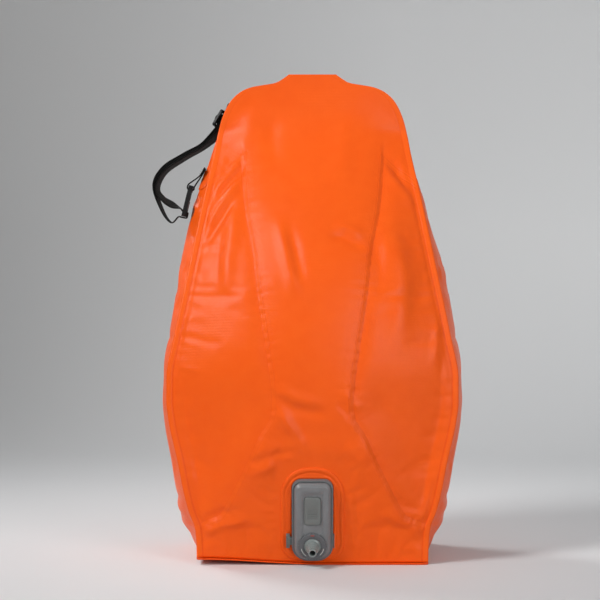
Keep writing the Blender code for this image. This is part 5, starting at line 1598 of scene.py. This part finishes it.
back_route = (
    (-0.068, 0.0075, 0.8807, 0.9), (-0.054, 0.006, 0.8257, 0.75), (-0.03, 0.005, 0.7468, 0.55),
    (0.005, 0.005, 0.6826, 0.15), (0.045, 0.006, 0.6587, -0.3), (0.068, 0.008, 0.6752, -1.2),
)


def at_height(route):
    return [((x, y, share * bag_height), side) for (x, y, share), side in route]


def hook_route(matrix):
    """The webbing round a hook's lower bar, from the slot's outer side to below the bar."""
    bar_top, bar_low = -hook_length / 2 + hook_bar, -hook_length / 2
    reach = hook_thickness / 2
    clear = skin_gap + webbing_thickness / 2 + skin_gap
    corner = clear * 0.75
    local = ((reach + hook_bar, bar_top + hook_slot), (reach, bar_top + clear * 1.4),
             (-reach, bar_top + clear), (-reach - corner, bar_top + corner),
             (-reach - clear, bar_top - clear), (-reach - clear, bar_low + clear / 2),
             (-reach - corner, bar_low - corner), (-reach, bar_low - clear),
             (reach, bar_low - clear * 1.2), (reach + hook_bar, bar_low - clear * 1.6))
    return [matrix @ Vector((0.0, out, z)) for out, z in local]


def adjuster_axes():
    along = Vector((0.50, 0.12, 0.85)).normalized()
    back = Vector((0.0, 1.0, 0.0))
    flat = (back - along * back.dot(along)).normalized()
    roll = math.radians(-30)
    across = (flat * math.cos(roll) + along.cross(flat) * math.sin(roll)).normalized()
    return across, along.cross(across), along


def adjuster_route(places):
    across, normal, along = adjuster_axes()
    return [(adjuster_middle + normal * out + along * run, across) for out, run in places]


def strap_route():
    layer = webbing_thickness + skin_gap
    face = adjuster_thickness / 2 + layer - webbing_thickness / 2 + skin_gap
    wrap = adjuster_bar / 2 + layer - webbing_thickness / 2 + skin_gap
    end = 1.5 * adjuster_bar + adjuster_slot
    sewn = ((-face - layer, -end), (-face - layer, -wrap - layer), (-face / 2, -wrap),
            (face / 2, -wrap), (face, 0.0), (face / 2, wrap), (-face, wrap),
            (-face - layer, 0.0), (-face - 2 * layer, -wrap - layer), (-face - 2 * layer, -end))
    running = ((-face, -end), (-face, -end + adjuster_bar), (0.0, -wrap - 1.3 * layer),
               (face + layer / 2, -wrap), (face + layer, 0.0), (face + layer / 2, wrap),
               (0.0, wrap + 1.3 * layer), (-face, end - adjuster_bar - layer),
               (-face, end - adjuster_bar), (-face, end), (-face, end + adjuster_bar))
    route = adjuster_route(sewn) + at_height(outward_route)
    route += [(point, (0.0, 1.0, 0.0)) for point in hook_route(left_frame)]
    route += at_height(return_route) + adjuster_route(running) + at_height(over_route)
    for x, lift, share, lean in back_route:
        z = bag_height * share
        side = Vector((math.sin(lean), 0.0, math.cos(lean)))
        side.y = float(back_y(x + side.x * fabric, z + side.z * fabric) - back_y(x, z)) / fabric
        route.append(((x, float(back_y(x, z)) + lift, z), side))
    return route + [(point, (1.0, 0.0, 0.0)) for point in hook_route(right_frame)[::-1]]


dress(draw_webbing("strap_webbing_woven", strap_route(), webbing_width, strap_weave),
      "bag", "webbing", "strap_webbing")

# %% [markdown]
# ## Anchors
# Each hook hangs on a loop of narrow webbing that is sewn to a patch welded on the bag. The patch
# follows the cloth under it, because it is laid over the finished, folded surface, and its rim is
# pressed down.

# %% Lay the anchor patches on the cloth
def on_cloth(grid, along, place, z):
    """The cloth's point at a height and a place along x (0) or y (1)."""
    middle = grid[:, grid.shape[1] // 2, 2]
    at = float(np.interp(z, middle, np.arange(len(grid))))
    first = min(int(at), len(grid) - 2)
    row = grid[first] + (grid[first + 1] - grid[first]) * (at - first)
    row = row[2:-2]
    order = np.argsort(row[:, along])
    point = np.zeros(3)
    point[along] = place
    point[1 - along] = np.interp(place, row[order, along], row[order, 1 - along])
    point[2] = z
    return point


def out_of_cloth(grid, along, place, z):
    """The direction out of the cloth there."""
    step = 0.002
    one = on_cloth(grid, along, place + step, z) - on_cloth(grid, along, place - step, z)
    two = on_cloth(grid, along, place, z + step) - on_cloth(grid, along, place, z - step)
    normal = np.cross(one, two)
    normal /= np.linalg.norm(normal)
    outside = on_cloth(grid, along, place, z)[1 - along]
    return normal if normal[1 - along] * outside > 0 else -normal


def laid_patch(name, grid, node, along):
    """A small patch with round corners that lies on the cloth over its solid's place."""
    low, high = [np.array(corner, float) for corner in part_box(node)]
    rows, columns = 25, 29
    u, v = np.meshgrid(np.linspace(-1, 1, columns), np.linspace(-1, 1, rows))
    half = ((high[along] - low[along]) / 2, (high[2] - low[2]) / 2)
    a, b = round_corners(u * half[0], v * half[1], *half, 0.004)
    rim = np.minimum(1 - np.abs(u), 1 - np.abs(v)) * min(half)
    lift = 0.0003 + 0.0011 * rising(rim, 0.0, 0.0012)
    lift -= 0.0004 * hump(rim, 0.0030, 0.0006)
    middle = (low + high) / 2
    points = np.empty((rows, columns, 3))
    for i in range(rows):
        for j in range(columns):
            place, z = middle[along] + a[i, j], middle[2] + b[i, j]
            points[i, j] = (on_cloth(grid, along, place, z)
                            + out_of_cloth(grid, along, place, z) * lift[i, j])
    patch = grid_object(name, points, patch_fabric)
    face_outwards(patch.data, out_of_cloth(grid, along, middle[along], middle[2]))
    dress(patch, "bag", "orange_fabric", node)


def anchor_loop(name, grid, node, loop_node, along, matrix):
    """The sewn loop: down the patch, round the hook's top bar, and back up over itself."""
    low, high = [np.array(corner, float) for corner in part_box(node)]
    place = (low[along] + high[along]) / 2
    top, foot = high[2], low[2] + (high[2] - low[2]) * 2 / 3
    lift, layer = 0.0015, webbing_thickness + 2 * skin_gap

    def above(z, height):
        normal = out_of_cloth(grid, along, place, z)
        return Vector(on_cloth(grid, along, place, z) + normal * height)

    bar_top = hook_length / 2
    bar_low = bar_top - hook_bar
    reach = hook_thickness / 2 + webbing_thickness
    below = bar_low - 1.2 * webbing_thickness
    turn = ((-reach, bar_top), (-reach, bar_low), (-reach / 2, below), (reach / 2, below),
            (reach, bar_low), (reach, bar_top), (reach / 2, bar_top + 2 * webbing_thickness))
    route = [above(top, lift + layer), above(foot, lift + layer)]
    route += [matrix @ Vector((0.0, out, z)) for out, z in turn]
    route += [above(foot, lift + 2 * layer), above(top, lift + 2 * layer)]
    across = matrix.to_3x3() @ Vector((1.0, 0.0, 0.0))
    loop = draw_webbing(name, [(point, across) for point in route], loop_width, loop_weave, 5)
    dress(loop, "bag", "webbing", loop_node)
    rows = []
    for z in np.linspace(foot + 0.002, top - 0.002, 3):
        centre = above(z, lift + 2 * layer + webbing_thickness / 2)
        rows.append([centre + across * step for step in np.linspace(-0.004, 0.004, 9)])
    return rows


anchors = (("left", cloth_grids["left_gusset_fabric"], 1, left_frame),
           ("right", cloth_grids["back"], 0, right_frame))
stitch_rows = []
for side, grid, along, _ in anchors:
    laid_patch(side + "_anchor_patch_fabric", grid, side + "_anchor_patch", along)
for side, grid, along, matrix in anchors:
    stitch_rows += anchor_loop(side + "_anchor_loop_woven", grid, side + "_anchor_patch",
                               side + "_anchor_loop", along, matrix)
print("anchor stitch rows", len(stitch_rows))

# %% [markdown]
# ## Stitches
# A row of stitches is one thread that shows as short capsules a stitch apart. The tree walks each
# line of points at an even pitch and sets a small stretched ball along it. There are two rows on
# the strap's sewn end and three on each anchor loop.

# %% Node tree: stitch run
def ball_copies(tree, segments, rings, radius, points, rotation, scale):
    """A stretched ball on each point."""
    ball = add_node(tree, "GeometryNodeMeshUVSphere",
                    {"Segments": segments, "Rings": rings, "Radius": radius})
    return add_node(tree, "GeometryNodeInstanceOnPoints",
                    {"Points": points, "Instance": ball.outputs["Mesh"],
                     "Rotation": rotation, "Scale": scale}).outputs["Instances"]


def lines_in(tree, inside):
    """The lines that a tree is run on, as curves."""
    return add_node(tree, "GeometryNodeMeshToCurve",
                    {"Mesh": inside.outputs["Geometry"]}).outputs["Curve"]


def build_stitch_tree():
    tree, inside, outside = new_shape_tree(
        "stitch run",
        [("Stitch Pitch", FLOAT, 0.0016), ("Stitch Length", FLOAT, 0.0012),
         ("Thread Radius", FLOAT, 0.00022)])
    pitch, length, radius = list(inside.outputs)[1:4]
    beads = add_node(tree, "GeometryNodeCurveToPoints",
                     {"Curve": lines_in(tree, inside), "Length": pitch}, mode="LENGTH")
    size = combined(tree, radius, radius, maths(tree, "MULTIPLY", length, 0.5))
    return end_shape_tree(tree, inside, outside, ball_copies(
        tree, 6, 5, 1.0, beads.outputs["Points"], beads.outputs["Rotation"], size))


def sewn_end_rows():
    """Two rows of stitches across the strap, just below the adjuster."""
    across, normal, along = adjuster_axes()
    layer = webbing_thickness + skin_gap
    out = -(adjuster_thickness / 2 + 3 * layer + webbing_thickness / 2 + 0.0002)
    first, row_pitch, half_row = -(1.5 * adjuster_bar + adjuster_slot) + 0.001, 0.004, 0.008
    return [[adjuster_middle + normal * out + along * run + across * step
             for step in np.linspace(-half_row, half_row, 12)]
            for run in (first, first + row_pitch)]


stitches = run_shape_tree("sewn_stitches", build_stitch_tree(), stitch_rows + sewn_end_rows(),
                          thread)
dress(stitches, "bag", "webbing")

# %% [markdown]
# ## Hooks and adjuster
# The snap hooks, their gates and the three-bar adjuster are small black mouldings. Their solids
# already have the right outlines, so they only need rounded edges and a polished, worn plastic.

# %% Round the strap's fittings
mouldings([(node, width, black_plastic, body, "black_plastic") for node, width, body in (
    ("left_hook", 0.0007, "bag"), ("right_hook", 0.0007, "bag"),
    ("left_hook_gate", 0.0004, "left_gate"), ("right_hook_gate", 0.0004, "right_gate"),
    ("strap_adjuster", 0.0005, "bag"))], 3)

# %% [markdown]
# ## The filler
# On the back sits a wide screw filler. The neck carries a thread with two starts, which shows when
# the cap is off, and the cap has a ring of low ridges on its top for wet hands. A helix of points
# swept with a small circle makes the thread, and one ridge copied round a circle makes the ring.

# %% Node trees: thread and ring of ridges
def build_thread_tree():
    tree, inside, outside = new_shape_tree("swept ridge", [("Ridge Radius", FLOAT, 0.0008)])
    section = add_node(tree, "GeometryNodeCurvePrimitiveCircle",
                       {"Resolution": 8, "Radius": inside.outputs["Ridge Radius"]})
    ridge = add_node(tree, "GeometryNodeCurveToMesh",
                     {"Fill Caps": True, "Curve": lines_in(tree, inside),
                      "Profile Curve": section.outputs["Curve"]})
    return end_shape_tree(tree, inside, outside, ridge.outputs["Mesh"])


def build_ridge_tree():
    tree, inside, outside = new_shape_tree(
        "ring of ridges",
        [("Radius", FLOAT, 0.02), ("Count", INT, 36), ("Ridge Length", FLOAT, 0.006),
         ("Ridge Width", FLOAT, 0.0012), ("Ridge Height", FLOAT, 0.0008)])
    _, _, times, over = sums(tree)
    radius, count, *size = list(inside.outputs)[1:6]
    circle = add_node(tree, "GeometryNodeMeshCircle", {"Vertices": count, "Radius": radius})
    number = add_node(tree, "GeometryNodeInputIndex").outputs[0]
    turn = over(times(number, 2 * math.pi), count)
    return end_shape_tree(tree, inside, outside, ball_copies(
        tree, 8, 6, 0.5, circle.outputs["Mesh"], combined(tree, 0.0, 0.0, turn),
        combined(tree, *size)))


# %% Dress the filler
filler_frame = turned_frame((0.0, filler_reach, filler_height), filler_lean, 0.0, 0.0)
cap_front = 0.0201


def helix(radius, low, high, turns, start):
    """Points of a thread round the filler's axis, which is its frame's y."""
    points = []
    for share in np.linspace(0.0, 1.0, 90):
        turn = start + 2 * math.pi * turns * share
        points.append((radius * math.cos(turn), low + (high - low) * share,
                       radius * math.sin(turn)))
    return points


neck_thread = run_shape_tree("filler_neck_thread", build_thread_tree(),
                             [helix(0.0249, 0.0040, 0.0145, 1.17, start)
                              for start in (0.0, math.pi)], black_plastic, Ridge_Radius=0.0007)
neck_thread.data.transform(filler_frame)
dress(neck_thread, "bag", "black_plastic")
cap_ridges = run_shape_tree("filler_cap_ridges", build_ridge_tree(), [], black_plastic,
                            Radius=0.0205, Ridge_Length=0.0075)
cap_ridges.data.transform(filler_frame @ turned_frame((0.0, cap_front, 0.0), -math.pi / 2,
                                                      0.0, 0.0))
dress(cap_ridges, "cap", "black_plastic")
mouldings([(node, width, black_plastic, body, "black_plastic") for node, width, body in (
    ("filler_cap", 0.0004, "cap"), ("filler_neck", 0.0003, "bag"),
    ("filler_backing_ring", 0.0003, "bag"))])

# %% [markdown]
# ## What is inside
# The parts inside the module are only seen when it is taken apart, but they get their finishes
# too. Their solids stay as they are, and only their material slots change.

# %% Finishes for the solids that stay
kept_finishes = (
    (dial_plastic, "flow_dial"), (bezel_plastic, "intake_strainer"),
    (pump_plastic, "pump_chamber pump_impeller valve_tube"),
    (seal_rubber, "housing_seal intake_seal nozzle_seal shaft_seal cap_gasket button_membrane"),
    (steel, "pump_motor tactile_switch"),
    (steel, "housing_screw_1 housing_screw_2 housing_screw_3 housing_screw_4"),
    (board_laminate, "circuit_board"), (battery_sleeve, "battery_cell"),
)
for look, names in kept_finishes:
    for node in names.split():
        for slot in nodes[node].material_slots:
            slot.material = look
    print(look.name, "on", names)
